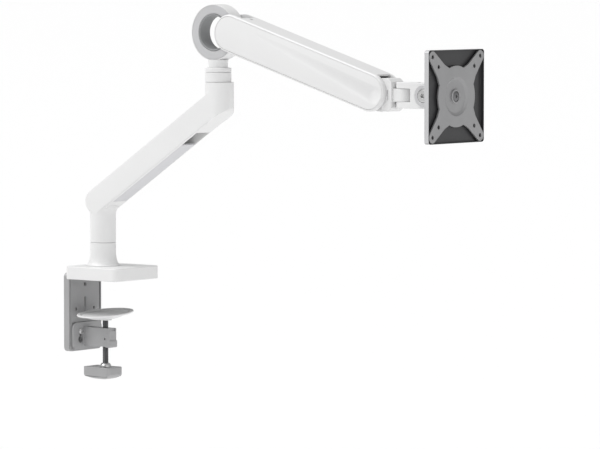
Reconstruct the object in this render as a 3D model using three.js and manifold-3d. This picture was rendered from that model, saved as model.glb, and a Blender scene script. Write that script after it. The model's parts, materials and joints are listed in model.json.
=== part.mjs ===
// A desk-clamped monitor arm: clamp and base, sloped lower arm, ring hub, gas-spring upper arm and head.
// Millimetres, +Z up. +X runs from the post towards the monitor.
// The origin is on the desk under the post's axis.
import * as THREE from "three";
import { mergeVertices } from "three/addons/utils/BufferGeometryUtils.js";
import Module from "manifold-3d";

const wasm = await Module();
wasm.setup();

// ---- Driving dimensions ----

const gap = 0.3; // between pieces that touch or run on each other
const facet = 0.1; // how far a flat side of a round shape may lie inside the true circle

// Base
const baseLength = 92;
const baseWidth = 90;
const baseHeight = 17.5;
const baseCorner = 8;
const baseBack = -30; // X of the base cover's back face
const coverWall = 2.5;
const padThickness = 1.5;
const basePlateThickness = 10;
const shelfThickness = 4.5;
const shelfReach = 22; // how far the back plate's shelf runs under the base plate
const shelfWidth = 56;
const shelfScrewRadius = 2.5;
const shelfHeadRadius = 4.5;
const shelfHeadHeight = 2.2;
const headRecess = 0.1; // how far screw heads lie below the face that they are sunk in
const postBoltRadius = 4;
const postBoltHeadRadius = 8;
const postBoltHeadHeight = 4.6;
const postBoltReach = 24; // into the shaft

// Post
const postRadius = 17.25;
const postFlareRadius = 24;
const postFlareHeight = 18;
const postHeight = 30.7; // from the base cover to the swivel seam
const shaftRadius = 10;
const bushWall = 2.2;
const bushLength = 10;
const retainerRadius = 3; // of the screw in each shaft's end
const retainerHeadHeight = 4;
const retainerReach = 14;

// Clamp
const backPlateWidth = 66;
const backPlateSetback = 2.3; // from the base cover's back to the plate's face
const backPlateThickness = 9.5;
const backPlateTop = 7.5;
const backPlateBottom = -98.5;
const backPlateCorner = 6;
const backPlateEdge = 0.8; // roundness of its edges
const grooveInset = 3.4; // from the back plate's sides to its two grooves
const grooveWidth = 1.2;
const topHole = { y: 0, z: -9, radius: 2.4 };
const sideHole = { y: 17.8, z: -42, radius: 1.9 };
const midSlot = { halfWidth: 2.2, top: -26, bottom: -54 };
const jawTop = -60;
const jawBottom = -96;
const jawFlangeThickness = 3.6;
const jawFlangeWidth = 58;
const jawArmWidth = 14;
const jawArmTop = -66.5;
const jawArmBottom = -91.5;
const jawReach = 49; // from the back plate's face to the jaw arm's end
const jawBoltSpacing = 28;
const jawBoltDrop = 12; // from the flange's top to its bolts
const jawBoltRadius = 2.5;
const jawBoltHeadRadius = 4;
const jawBoltHeadHeight = 2.4;
const jawCorner = 8;
const toeLength = 9.6; // the jaw arm's thicker end
const toeRise = 10;
const keyholeDrop = 11; // from a keyhole's narrow top to its wide bottom
const keyholeRadius = 4.6;
const keyholePocket = 5; // depth of the back plate's pocket behind each wide bottom
const sightHole = { x: 8.5, z: -81, radius: 1.5, depth: 2 }; // in the arm's side
const screwRadius = 4;
const screwOffset = 36; // from the back plate's face to the clamp screw's axis
const discTop = -45.5; // at the screw's axis
const discHalfLength = 43; // across the desk edge
const discHalfDepth = 34; // towards the desk
const discThickness = 8;
const discLean = 4; // degrees that the loose disc leans over, its -Y side down
const discRim = 5;
const discPadDepth = 2.2;
const ballRadius = 5;
const screwNeckRadius = 3;
const snapRingRadius = 8.5;
const snapRingThickness = 1.2;
const knobTop = -119;
const knobThickness = 16.5;
const knobCorner = 4;
const collarHeightBelow = 5; // the collar under the clamp screw's thread, on top of the knob
const collarRadius = 7.8;
const knobLongWing = 28;
const knobShortWing = 18;
const knobWidth = 29.5;
const knobHold = 6; // how deep the clamp screw sits in the knob

// Lower arm
const armSlope = 33.3; // degrees
const armHalfDepth = 16.4;
const armHalfWidth = postRadius;
const armEdge = 2.5; // roundness of the beam's long edges
const armOverhang = 1.2; // how far the round lower end's centre lies behind the post's axis
const socketFlareRadius = 22;
const socketFlareHeight = 12;
const socketFlareTop = 8; // below the round lower end's centre
const columnFoot = 3.5; // the chamfer under the elbow column
const armEndHeight = 55.4; // from the swivel seam to the centre of the arm's round lower end
const elbowReach = 201; // from the post's axis to the elbow's axis
const elbowRise = 30.2; // from the arm's centre line to the elbow seam
const columnExtra = 4.2; // how much further the elbow column reaches forwards than a round one
const channelHalfWidth = 13.4;
const channelRoof = 4.5; // thickness left above the cable channel
const channelStart = 26; // along the arm from its lower end's centre
const channelEnd = 200;
const cableCoverLength = 143;
const cableCoverThickness = 2.6;

// Elbow and ring hub
const collarHeight = 12.5;
const trimRingHeight = 5.9;
const neckRadius = shaftRadius + 2.75;
const hubRise = 65; // from the elbow seam to the ring's centre
const ringRadius = 36.6;
const ringInnerRadius = 24.5;
const ringHalfWidth = 10.5;
const ringRim = 1;
const linerWall = 1.9;
const facePlateThickness = 1.2;
const pivotOffset = 30; // from the ring's centre to the upper arm's pivot
const mainPinRadius = 3.5;
const mainBushWall = 1;

// Upper arm, in its own frame: x along it from the main pivot, z square to it
const armLength = 253; // pivot to pivot
const armDrop = 17.42; // degrees that the arm slopes down as drawn
const upperHalfDepth = 24.5;
const hubEndCentre = 2.5; // how far the round hub end's centre lies along the arm
const upperEdge = 3; // roundness of the arm's long edges
const upperWall = 3.3;
const upperSkin = 2.7; // thickness of the top wall and the bottom cover
const sideCoverThickness = 2.6;
const tipOverhang = 14.2; // how far the cheeks reach past the tip pivot
const coverInset = 2.5;
const hubSlotEnd = 14;
const tipSlotStart = 245;
const tipPinRadius = 4;
const tensionAt = 20;
const tensionScrewRadius = 3;
const tensionHoleRadius = 2.8;
const nutHeight = 2; // the trunnion's height above the arm's centre line
const trunnionRadius = 3.5;

// Levelling links and gas spring
const linkBack = 3; // the link's pivots lie this far behind the main pivots
const linkBelow = 15; // and this far below them
const linkPinRadius = 2.5;
const linkHalfDepth = 3.5;
const linkThickness = 2.2;
const gasLift = 14; // height of the gas rod's pin above the tip pivot
const gasPinRadius = 2.5;
const gasPinPlay = 2.8; // radial room in the rod's eye, as its path is not quite straight
const gasRadius = 9;
const gasWall = 1.5;
const gasLength = 155; // from the nut to the cylinder's front end
const gasRodRadius = 4;
const pistonAt = 88;

// Head
const blockHalfHeight = 21;
const blockBackHalfWidth = ringHalfWidth;
const blockFront = 17; // from the tip pivot to where the block's chamfer starts
const chamferLength = 5.4;
const panOffset = 34; // from the tip pivot to the pan axis
const tongueHalfHeight = 8.2;
const forkRadius = 11;
const forkHalfHeight = 16.5;
const panPinRadius = 3.5;
const tiltOffset = 38; // from the pan axis to the tilt axis
const tiltTongueHalfWidth = 5;
const tiltPinRadius = 4;
const tiltDiscRadius = 13.7;
const tiltDiscThickness = 2;
const tiltHeadRadius = 8.3;
const plateOffset = 43; // from the tilt axis to the monitor plate's front
const trayHalf = 58.5;
const trayDepth = 7;
const trayCorner = 4;
const trayRim = 1;
const trayFloor = 2.4;
const spiderThickness = 2.6;
const spiderHubRadius = 38.5;
const spiderEndRadius = 7.2;
const spiderRootHalfWidth = 11.5;
const dishRadius = 24.5;
const wideHoles = 100; // sides of the two hole squares
const narrowHoles = 75;
const plateHoleRadius = 2.5;
const flangeRadius = 19;
const rotationBoltRadius = 3;

// ---- Places worked out from the dimensions ----

const padTop = padThickness;
const cavityHalfWidth = ringHalfWidth + linkThickness + 2 * gap;
const upperHalfWidth = cavityHalfWidth + upperWall + gap + sideCoverThickness;
const blockFrontHalfWidth = cavityHalfWidth - gap;
const basePlateBottom = padTop + gap;
const basePlateTop = basePlateBottom + basePlateThickness;
const postSeam = baseHeight + gap + postHeight;
const plateFace = baseBack - backPlateSetback; // the back plate's face towards the desk
const screwX = plateFace + screwOffset;
const discBallZ = discTop - discThickness + 3;
const slope = THREE.MathUtils.degToRad(armSlope);
const armEnd = { x: -armOverhang, z: postSeam + armEndHeight };
const elbowCentreZ = armEnd.z + (elbowReach - armEnd.x) * Math.tan(slope);
const elbowSeam = elbowCentreZ + elbowRise;
const ringZ = elbowSeam + hubRise;
const mainPivotX = elbowReach + pivotOffset;
const drop = THREE.MathUtils.degToRad(armDrop);
const tipX = mainPivotX + armLength * Math.cos(drop);
const tipZ = ringZ - armLength * Math.sin(drop);
const panX = tipX + panOffset;
const tiltX = panX + tiltOffset;
const plateX = tiltX + plateOffset;
const bushRadius = shaftRadius + gap + bushWall;
const boreRadius = bushRadius + gap;
const gasPin = {
  x: armLength - gasLift * Math.sin(drop),
  z: gasLift * Math.cos(drop),
};
const gasAngle = Math.atan2(gasPin.z - nutHeight, gasPin.x - tensionAt);
const gasSpan = Math.hypot(gasPin.z - nutHeight, gasPin.x - tensionAt);

// ---- Shapes ----

function roundSteps(radius, angle = 2 * Math.PI) {
  const step = 2 * Math.acos(1 - facet / Math.max(radius, 1));
  return Math.max(3, Math.ceil(Math.abs(angle) / step));
}

// Points along an arc, from one angle to another in radians.
function arc(x, y, radius, from, to) {
  const steps = roundSteps(radius, to - from);
  return Array.from({ length: steps + 1 }, (_, i) => {
    const angle = from + ((to - from) * i) / steps;
    return [x + radius * Math.cos(angle), y + radius * Math.sin(angle)];
  });
}

function outline(points) {
  return new THREE.Shape(points.map(([x, y]) => new THREE.Vector2(x, y)));
}

function roundedRectangle(x0, x1, y0, y1, radius) {
  const quarter = Math.PI / 2;
  return outline([
    ...arc(x1 - radius, y0 + radius, radius, -quarter, 0),
    ...arc(x1 - radius, y1 - radius, radius, 0, quarter),
    ...arc(x0 + radius, y1 - radius, radius, quarter, 2 * quarter),
    ...arc(x0 + radius, y0 + radius, radius, 2 * quarter, 3 * quarter),
  ]);
}

// A shape with two round ends on the x axis.
function stadium(x0, x1, radius) {
  const quarter = Math.PI / 2;
  return outline([
    ...arc(x1, 0, radius, -quarter, quarter),
    ...arc(x0, 0, radius, quarter, 3 * quarter),
  ]);
}

function solidOf(geometry) {
  geometry.deleteAttribute("normal");
  geometry.deleteAttribute("uv");
  const merged = mergeVertices(geometry, 1e-4);
  const mesh = new wasm.Mesh({
    numProp: 3,
    vertProperties: new Float32Array(merged.attributes.position.array),
    triVerts: new Uint32Array(merged.index.array),
  });
  return new wasm.Manifold(mesh);
}

function join(first, ...others) {
  return others.reduce((whole, solid) => whole.add(solid), first);
}

function cut(first, ...others) {
  return others.reduce((whole, solid) => whole.subtract(solid), first);
}

function block(x0, x1, y0, y1, z0, z1) {
  const box = new THREE.BoxGeometry(x1 - x0, y1 - y0, z1 - z0);
  box.translate((x0 + x1) / 2, (y0 + y1) / 2, (z0 + z1) / 2);
  return solidOf(box);
}

// Turns a geometry drawn along Z so that it lies along X, Y or Z.
function along(axis, geometry) {
  if (axis === "x") {
    const turn = new THREE.Matrix4().makeBasis(
      new THREE.Vector3(0, 1, 0),
      new THREE.Vector3(0, 0, 1),
      new THREE.Vector3(1, 0, 0),
    );
    geometry.applyMatrix4(turn);
  }
  if (axis === "y") geometry.rotateX(Math.PI / 2);
  return geometry;
}

// A flat shape given thickness from one level to another along an axis, with an optional rounded edge.
// For axis x the shape holds (y, z), for axis y it holds (x, z), and for axis z it holds (x, y).
function slab(axis, shape, from, to, edge = 0) {
  const geometry = new THREE.ExtrudeGeometry(shape, {
    depth: to - from - 2 * edge,
    bevelEnabled: edge > 0,
    bevelThickness: edge,
    bevelSize: edge,
    bevelOffset: -edge,
    bevelSegments: 3,
    steps: 1,
  });
  geometry.translate(0, 0, edge);
  along(axis, geometry);
  if (axis === "x") geometry.translate(from, 0, 0);
  if (axis === "y") geometry.translate(0, to, 0);
  if (axis === "z") geometry.translate(0, 0, from);
  return solidOf(geometry);
}

// A round bar along an axis. Its centre is given in the other two coordinates, in X, Y, Z order.
function bar(axis, radius, from, to, a = 0, b = 0) {
  return slab(axis, outline(arc(a, b, radius, 0, 2 * Math.PI).slice(1)), from, to);
}

function tube(axis, outer, inner, from, to, a = 0, b = 0) {
  return cut(bar(axis, outer, from, to, a, b), bar(axis, inner, from - 1, to + 1, a, b));
}

// A shape turned about the Z axis, from [radius, height] points that start and end on that axis.
function turned(profile, x = 0) {
  const points = profile.map(([radius, z]) => new THREE.Vector2(radius, z));
  const widest = Math.max(...profile.map(([radius]) => radius));
  const geometry = new THREE.LatheGeometry(points, roundSteps(widest));
  geometry.rotateX(Math.PI / 2);
  geometry.translate(x, 0, 0);
  return solidOf(geometry);
}

// Moves a solid by a matrix.
function moved(solid, matrix) {
  const geometry = geometryOf(solid);
  geometry.applyMatrix4(matrix);
  return solidOf(geometry);
}

function geometryOf(solid) {
  const mesh = solid.getMesh();
  const geometry = new THREE.BufferGeometry();
  const positions = new Float32Array(mesh.numVert * 3);
  for (let i = 0; i < mesh.numVert; i++) {
    const start = i * mesh.numProp;
    positions.set(mesh.vertProperties.subarray(start, start + 3), i * 3);
  }
  geometry.setAttribute("position", new THREE.BufferAttribute(positions, 3));
  geometry.setIndex(new THREE.BufferAttribute(new Uint32Array(mesh.triVerts), 1));
  return geometry;
}

// ---- Materials ----

const paint = (color, roughness, metalness) =>
  new THREE.MeshStandardMaterial({ color, roughness, metalness });
const whitePaint = paint(0xf1f1f1, 0.42, 0.05);
const whitePlastic = paint(0xf3f3f3, 0.5, 0);
const greyPaint = paint(0x8f8f91, 0.45, 0.4);
const silverPaint = paint(0xb6b7b8, 0.4, 0.4);
const darkPlastic = paint(0x4a4d4f, 0.6, 0);
const steel = paint(0x9b9c9e, 0.35, 0.9);
const blackSteel = paint(0x3a3a3c, 0.4, 0.8);
const rubber = paint(0x55575a, 0.9, 0);
const bronze = paint(0xb08a4a, 0.4, 0.7);

const monitorArm = new THREE.Group();

// Adds one sub-part to a group.
function piece(name, solid, material, group = monitorArm) {
  const mesh = new THREE.Mesh(geometryOf(solid), material);
  mesh.name = name;
  group.add(mesh);
}

// ---- Base ----

function basePad() {
  const inset = coverWall + 1.2;
  const shape = roundedRectangle(
    baseBack + inset,
    baseBack + baseLength - inset,
    -baseWidth / 2 + inset,
    baseWidth / 2 - inset,
    baseCorner - coverWall,
  );
  return slab("z", shape, 0, padTop);
}

function shelfPocket(room) {
  return block(
    plateFace - 1,
    baseBack + shelfReach + room,
    -shelfWidth / 2 - room,
    shelfWidth / 2 + room,
    -1,
    basePlateBottom + shelfThickness + room,
  );
}

const shelfScrewPlaces = [-1, 1].map((side) => ({
  x: baseBack + shelfReach / 2 + 2,
  y: (side * shelfWidth) / 3.5,
}));

function basePlate() {
  const inset = coverWall + 1;
  const shape = roundedRectangle(
    baseBack + inset,
    baseBack + baseLength - inset,
    -baseWidth / 2 + inset,
    baseWidth / 2 - inset,
    baseCorner - coverWall,
  );
  return cut(
    slab("z", shape, basePlateBottom, basePlateTop),
    shelfPocket(gap),
    bar("z", postBoltRadius + gap, 0, basePlateTop + 1),
    bar("z", postBoltHeadRadius + gap, 0, basePlateBottom + postBoltHeadHeight + gap),
    ...shelfScrewPlaces.map(({ x, y }) => bar("z", shelfScrewRadius + gap, 0, basePlateTop - 1.5, x, y)),
  );
}

function baseCover() {
  const outer = roundedRectangle(
    baseBack,
    baseBack + baseLength,
    -baseWidth / 2,
    baseWidth / 2,
    baseCorner,
  );
  const inner = roundedRectangle(
    baseBack + coverWall,
    baseBack + baseLength - coverWall,
    -baseWidth / 2 + coverWall,
    baseWidth / 2 - coverWall,
    baseCorner - coverWall,
  );
  return cut(
    slab("z", outer, gap, baseHeight),
    slab("z", inner, -1, baseHeight - coverWall),
    bar("z", postRadius - 2 + gap, 0, baseHeight + 1),
    shelfPocket(gap),
  );
}

function postFlare() {
  const steps = 6;
  return Array.from({ length: steps + 1 }, (_, i) => {
    const angle = ((Math.PI / 2) * i) / steps;
    return [
      postFlareRadius - (postFlareRadius - postRadius) * Math.sin(angle),
      baseHeight + gap + postFlareHeight * (1 - Math.cos(angle)),
    ];
  });
}

function basePost() {
  const bottom = basePlateTop + gap;
  const spigot = postRadius - 2;
  return cut(
    turned([
      [0, bottom],
      [spigot, bottom],
      [spigot, baseHeight + gap],
      ...postFlare(),
      [postRadius, postSeam],
      [0, postSeam],
    ]),
    bar("z", shaftRadius + gap, bottom - 1, postSeam + 1),
  );
}

const postShaftTop = armEnd.z - 7;

function postShaft() {
  const bottom = basePlateTop + gap;
  return cut(
    bar("z", shaftRadius, bottom, postShaftTop),
    bar("z", postBoltRadius + gap, bottom - 1, bottom + postBoltReach + 2),
    bar("z", retainerRadius + gap, postShaftTop - retainerReach - 2, postShaftTop + 1),
  );
}

function postBolt() {
  const bottom = basePlateBottom + headRecess;
  return join(
    bar("z", postBoltHeadRadius, bottom, basePlateBottom + postBoltHeadHeight),
    bar("z", postBoltRadius, bottom, basePlateTop + postBoltReach),
  );
}

// A screw in the end of a shaft, whose wide head keeps the bushes on the shaft. up is 1 or -1.
function retainingScrew(x, seat, up) {
  const near = seat + up * gap;
  const far = near + up * retainerHeadHeight;
  const tip = seat - up * retainerReach;
  return join(
    bar("z", bushRadius - 1.2, Math.min(near, far), Math.max(near, far), x),
    bar("z", retainerRadius, Math.min(tip, far), Math.max(tip, far), x),
  );
}

// ---- Clamp ----

function clampBackPlate() {
  const half = backPlateWidth / 2;
  const face = roundedRectangle(-half, half, backPlateBottom, backPlateTop, backPlateCorner);
  const grooves = [-1, 1].map((side) => {
    const middle = side * (half - grooveInset);
    return block(
      plateFace - grooveWidth,
      plateFace + 1,
      middle - grooveWidth / 2,
      middle + grooveWidth / 2,
      backPlateBottom + backPlateThickness,
      -2 * padThickness,
    );
  });
  const shelf = block(
    plateFace - 1,
    baseBack + shelfReach,
    -shelfWidth / 2,
    shelfWidth / 2,
    basePlateBottom,
    basePlateBottom + shelfThickness,
  );
  const back = plateFace - backPlateThickness;
  const through = (radius, y, z) => bar("x", radius, back - 1, plateFace + 1, y, z);
  return cut(
    join(slab("x", face, back, plateFace, backPlateEdge), shelf),
    ...grooves,
    through(topHole.radius, topHole.y, topHole.z),
    through(sideHole.radius, -sideHole.y, sideHole.z),
    through(sideHole.radius, sideHole.y, sideHole.z),
    block(back - 1, plateFace + 1, -midSlot.halfWidth, midSlot.halfWidth, midSlot.bottom, midSlot.top),
    ...jawBoltPlaces.map((y) => through(jawBoltRadius + gap, y, jawBoltZ)),
    ...jawBoltPlaces.map((y) =>
      bar("x", keyholeRadius, plateFace - keyholePocket, plateFace + 1, y, jawBoltZ - keyholeDrop),
    ),
    ...shelfScrewPlaces.map(({ x, y }) => bar("z", shelfScrewRadius + gap, 0, baseHeight, x, y)),
    ...shelfScrewPlaces.map(({ x, y }) =>
      bar("z", shelfHeadRadius + gap, 0, basePlateBottom + shelfHeadHeight + gap, x, y),
    ),
  );
}

const jawBoltPlaces = [-jawBoltSpacing / 2, jawBoltSpacing / 2];
const jawBoltZ = jawTop - jawBoltDrop;

function shelfScrew({ x, y }) {
  const bottom = basePlateBottom + headRecess;
  return join(
    bar("z", shelfHeadRadius, bottom, bottom + shelfHeadHeight - headRecess, x, y),
    bar("z", shelfScrewRadius, bottom, basePlateTop - 2 * headRecess - gap - 1.4, x, y),
  );
}

function keyhole(y) {
  const front = plateFace + jawFlangeThickness + gap + 1;
  const narrow = jawBoltRadius + gap;
  const low = jawBoltZ - keyholeDrop;
  return join(
    bar("x", keyholeRadius, plateFace, front, y, low),
    block(plateFace, front, y - narrow, y + narrow, low, jawBoltZ),
    bar("x", narrow, plateFace, front, y, jawBoltZ),
  );
}

function jawBracket() {
  const back = plateFace + gap;
  const half = jawFlangeWidth / 2;
  const flange = slab(
    "x",
    roundedRectangle(-half, half, jawBottom, jawTop, jawCorner),
    back,
    back + jawFlangeThickness,
  );
  const end = plateFace + jawReach;
  const arm = block(back + 1, end, -jawArmWidth / 2, jawArmWidth / 2, jawArmBottom, jawArmTop);
  const toe = slab(
    "y",
    roundedRectangle(end + 1.6 - toeLength, end + 1.6, jawArmBottom - 1, jawArmBottom - 1 + toeRise, 2),
    -jawArmWidth / 2,
    jawArmWidth / 2,
  );
  const notch = block(end - 1.5, end + 1, -jawArmWidth / 2 + 2, jawArmWidth / 2 - 2, jawArmTop - 4, 0);
  return cut(
    join(flange, arm, toe),
    notch,
    ...jawBoltPlaces.map(keyhole),
    bar("z", screwRadius + gap, jawArmBottom - 2, jawArmTop + 1, screwX),
    bar("y", sightHole.radius, -jawArmWidth, -jawArmWidth / 2 + sightHole.depth, sightHole.x, sightHole.z),
  );
}

function jawBolt(y) {
  const head = plateFace + gap + jawFlangeThickness + gap;
  return join(
    bar("x", jawBoltHeadRadius, head, head + jawBoltHeadHeight, y, jawBoltZ),
    bar("x", jawBoltRadius, plateFace - backPlateThickness + 0.5, head + 1, y, jawBoltZ),
  );
}

// The dish leans about the ball at the screw's top end.
const discFrame = new THREE.Group();
discFrame.position.set(screwX, 0, discBallZ);
discFrame.rotation.x = THREE.MathUtils.degToRad(discLean);

// A turned shape drawn out to the disc's oval, from [inset from its edge, height] points.
function oval(profile) {
  const points = profile.map(([inset, z]) => new THREE.Vector2(1 - inset / discHalfLength, z));
  const geometry = new THREE.LatheGeometry(
    [new THREE.Vector2(0, points[0].y), ...points, new THREE.Vector2(0, points.at(-1).y)],
    roundSteps(discHalfLength),
  );
  geometry.rotateX(Math.PI / 2);
  geometry.scale(discHalfDepth, discHalfLength, 1);
  return solidOf(geometry);
}

const discFrameTop = discTop - discBallZ;

// A saucer: thick round the screw, thin at its rim, with a shallow recess on top for its pad.
function pressureDisc() {
  const top = discFrameTop;
  const saucer = oval([
    [26, top - discThickness],
    [24, top - discThickness],
    [13, top - 4.8],
    [3, top - 2.6],
    [0, top - 1.4],
    [0, top - 0.6],
    [0.6, top],
  ]);
  const recess = oval([
    [discRim + 3, top - discPadDepth],
    [discRim, top - 0.8],
    [discRim, top + 1],
  ]);
  return cut(saucer, recess, bar("z", ballRadius + 1.2, top - 20, top + 1));
}

function discPad() {
  const bottom = discFrameTop - discPadDepth + gap;
  return oval([
    [discRim + 3 + gap, bottom],
    [discRim + 3 + gap, discFrameTop - 0.8],
  ]);
}

const snapRingTop = discTop - discThickness - 1.4;

function snapRing() {
  const bottom = snapRingTop - snapRingThickness;
  return tube("z", snapRingRadius, screwNeckRadius + gap, bottom, snapRingTop, screwX);
}

function clampScrew() {
  const neck = screwNeckRadius;
  const ballTop = discBallZ + 2.4;
  return turned(
    [
      [0, knobTop - knobHold],
      [screwRadius, knobTop - knobHold],
      [screwRadius, snapRingTop - 2.4],
      [neck, snapRingTop - 2],
      [neck, snapRingTop + 0.6],
      [ballRadius, snapRingTop + 2.2],
      [ballRadius, ballTop - 2],
      [ballRadius - 2, ballTop],
      [0, ballTop],
    ],
    screwX,
  );
}

function knobCollar() {
  return cut(
    turned(
      [
        [0, knobTop + gap],
        [collarRadius, knobTop + gap],
        [0.95 * collarRadius, knobTop + 0.4 * collarHeightBelow],
        [0.75 * collarRadius, knobTop + collarHeightBelow],
        [0, knobTop + collarHeightBelow],
      ],
      screwX,
    ),
    bar("z", screwRadius + gap, knobTop - 1, knobTop + 6, screwX),
  );
}

// A boat-shaped bar: level on top, and curving up below towards both ends and, less, towards both sides.
function clampKnob() {
  const bottom = knobTop - knobThickness;
  const half = knobWidth / 2;
  const side = outline([
    [screwX - knobLongWing, knobTop],
    [screwX - knobLongWing, knobTop - 0.64 * knobThickness],
    [screwX - 0.5 * knobLongWing, bottom + 1.2],
    [screwX, bottom],
    [screwX + 0.5 * knobShortWing, bottom + 1.2],
    [screwX + knobShortWing, knobTop - 0.6 * knobThickness],
    [screwX + knobShortWing, knobTop],
  ]);
  const end = outline([
    [half, knobTop],
    [-half, knobTop],
    [-half, knobTop - 0.75 * knobThickness],
    [-0.55 * half, bottom + 0.8],
    [0, bottom],
    [0.55 * half, bottom + 0.8],
    [half, knobTop - 0.75 * knobThickness],
  ]);
  const plan = roundedRectangle(
    screwX - knobLongWing,
    screwX + knobShortWing,
    -half,
    half,
    knobCorner,
  );
  return cut(
    slab("z", plan, bottom - 1, knobTop)
      .intersect(slab("y", side, -half - 1, half + 1))
      .intersect(slab("x", end, screwX - knobLongWing - 1, screwX + knobShortWing + 1)),
    bar("z", screwRadius + gap, knobTop - knobHold - gap, knobTop + 1, screwX),
  );
}

// ---- Lower arm ----

// Places a solid drawn in the sloped beam's own frame: x along it from its lower end, z square to it.
function onBeam(solid) {
  const matrix = new THREE.Matrix4().makeTranslation(armEnd.x, 0, armEnd.z);
  matrix.multiply(new THREE.Matrix4().makeRotationY(-slope));
  return moved(solid, matrix);
}

const beamLength = (elbowReach - armEnd.x) / Math.cos(slope);
const shaftFoot = elbowSeam - 24; // bottom of the elbow's shaft
const columnFront = elbowReach + postRadius + columnExtra;

function undersideAt(x) {
  return armEnd.z + (x - armEnd.x) * Math.tan(slope) - armHalfDepth / Math.cos(slope);
}

// The upright elbow socket: round, drawn out forwards, with a foot that carries on the beam's underside.
function elbowColumn() {
  const plan = outline([
    ...arc(columnExtra + elbowReach, 0, postRadius, -Math.PI / 2, Math.PI / 2),
    ...arc(elbowReach, 0, postRadius, Math.PI / 2, 1.5 * Math.PI),
  ]);
  const back = elbowReach - postRadius;
  const footStart = columnFront - columnFoot;
  const side = outline([
    [back - 1, undersideAt(back - 1)],
    [footStart, undersideAt(footStart)],
    [columnFront + 1, undersideAt(columnFront) + columnFoot],
    [columnFront + 1, elbowSeam],
    [back - 1, elbowSeam],
  ]);
  const bottom = undersideAt(back - 1) - 1;
  return slab("z", plan, bottom, elbowSeam).intersect(slab("y", side, -armHalfWidth - 1, armHalfWidth + 1));
}

// The socket over the post spreads out, under the beam only, towards the elbow.
function lowerSocket() {
  const steps = 5;
  const top = armEnd.z - socketFlareTop;
  const flare = Array.from({ length: steps + 1 }, (_, i) => {
    const angle = ((Math.PI / 2) * i) / steps;
    return [
      socketFlareRadius - (socketFlareRadius - postRadius) * Math.cos(angle),
      top - socketFlareHeight * (1 - Math.sin(angle)),
    ];
  });
  const shape = turned([
    [0, postSeam + gap],
    [postRadius, postSeam + gap],
    ...flare,
    [socketFlareRadius, armEnd.z],
    [0, armEnd.z],
  ]);
  return shape.intersect(
    block(-postRadius, 2 * postRadius, -armHalfWidth, armHalfWidth, postSeam, armEnd.z + 1),
  );
}

function lowerArmBody() {
  const quarter = Math.PI / 2;
  const endSlant = armHalfDepth * Math.tan(slope); // the beam's hidden end is upright, inside the column
  const beam = outline([
    ...arc(0, 0, armHalfDepth, quarter, 3 * quarter),
    [beamLength - endSlant, -armHalfDepth],
    [beamLength + endSlant, armHalfDepth],
  ]);
  const channel = block(
    channelStart,
    channelEnd,
    -channelHalfWidth,
    channelHalfWidth,
    -armHalfDepth - 5,
    armHalfDepth - channelRoof,
  );
  const postChamber = bar("z", boreRadius, postSeam, armEnd.z + 6);
  const doorway = block(0, channelStart + 1, -8, 8, -5, armHalfDepth - channelRoof);
  const floor = 3.6;
  const chamber = outline([
    [elbowReach - 24, undersideAt(elbowReach - 24) + floor],
    [elbowReach + boreRadius, undersideAt(elbowReach + boreRadius) + floor],
    [elbowReach + boreRadius, shaftFoot + 1],
    [elbowReach - 24, shaftFoot + 1],
  ]);
  return cut(
    join(
      onBeam(slab("y", beam, -armHalfWidth, armHalfWidth, armEdge)),
      lowerSocket(),
      elbowColumn(),
    ),
    onBeam(channel),
    onBeam(doorway),
    postChamber,
    slab("y", chamber, -channelHalfWidth, channelHalfWidth),
    bar("z", boreRadius, shaftFoot, elbowSeam + 1, elbowReach),
    bar("z", 5, undersideAt(elbowReach) - 5, shaftFoot, elbowReach),
  );
}

function cableCover() {
  const start = channelStart + gap;
  const end = start + cableCoverLength;
  const half = channelHalfWidth - gap;
  const bottom = -armHalfDepth;
  const top = bottom + cableCoverThickness;
  const ribs = [-1, 1].map((side) =>
    block(start + 4, end - 4, side * (half - 1) - 1, side * (half - 1) + 1, top - 1, top + 6),
  );
  return onBeam(join(block(start, end, -half, half, bottom, top), ...ribs));
}

function bush(x, bottom) {
  return tube("z", bushRadius, shaftRadius + gap, bottom, bottom + bushLength, x);
}

// ---- Elbow and ring hub ----

const collarBottom = elbowSeam + gap;
const trimBottom = collarBottom + collarHeight + gap;
const neckTop = trimBottom + trimRingHeight;

function collar(bottom, height) {
  return tube("z", postRadius, neckRadius + gap, bottom, bottom + height, elbowReach);
}

const pivotHoles = [
  { x: mainPivotX, z: ringZ, radius: mainPinRadius + gap + mainBushWall + gap },
  { x: mainPivotX - linkBack, z: ringZ - linkBelow, radius: linkPinRadius + gap },
];

function pivotBores() {
  const reach = ringHalfWidth + 5;
  return pivotHoles.map(({ x, z, radius }) => bar("y", radius, -reach, reach, x, z));
}

function ringTube(outer, inner, from, to) {
  return tube("y", outer, inner, from, to, elbowReach, ringZ);
}

function hubRing() {
  const recess = facePlateThickness + gap;
  const faces = [-1, 1].map((side) => {
    const a = side * (ringHalfWidth - recess);
    const b = side * (ringHalfWidth + 1);
    return bar("y", ringRadius - ringRim, Math.min(a, b), Math.max(a, b), elbowReach, ringZ);
  });
  const drum = bar("y", ringRadius, -ringHalfWidth, ringHalfWidth, elbowReach, ringZ);
  // Above the ring's edge the neck is kept inside the ring's thickness, so that the face plates lie flat.
  const shoulder = ringZ - ringRadius + ringRim;
  const thick = ringHalfWidth - recess;
  const root = bar("z", neckRadius, shoulder - 1, ringZ - ringInnerRadius - 3, elbowReach);
  const stem = bar("z", neckRadius, collarBottom, shoulder, elbowReach);
  const wide = elbowReach + neckRadius + 1;
  return cut(
    join(
      cut(drum, ...faces),
      stem,
      root.intersect(block(elbowReach - neckRadius - 1, wide, -thick, thick, 0, ringZ)),
    ),
    bar("y", ringInnerRadius, -ringHalfWidth - 1, ringHalfWidth + 1, elbowReach, ringZ),
    ...pivotBores(),
    bar("z", shaftRadius + gap, collarBottom - 1, elbowShaftTop + gap, elbowReach),
  );
}

const elbowShaftTop = ringZ - ringRadius - 1;

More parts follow.
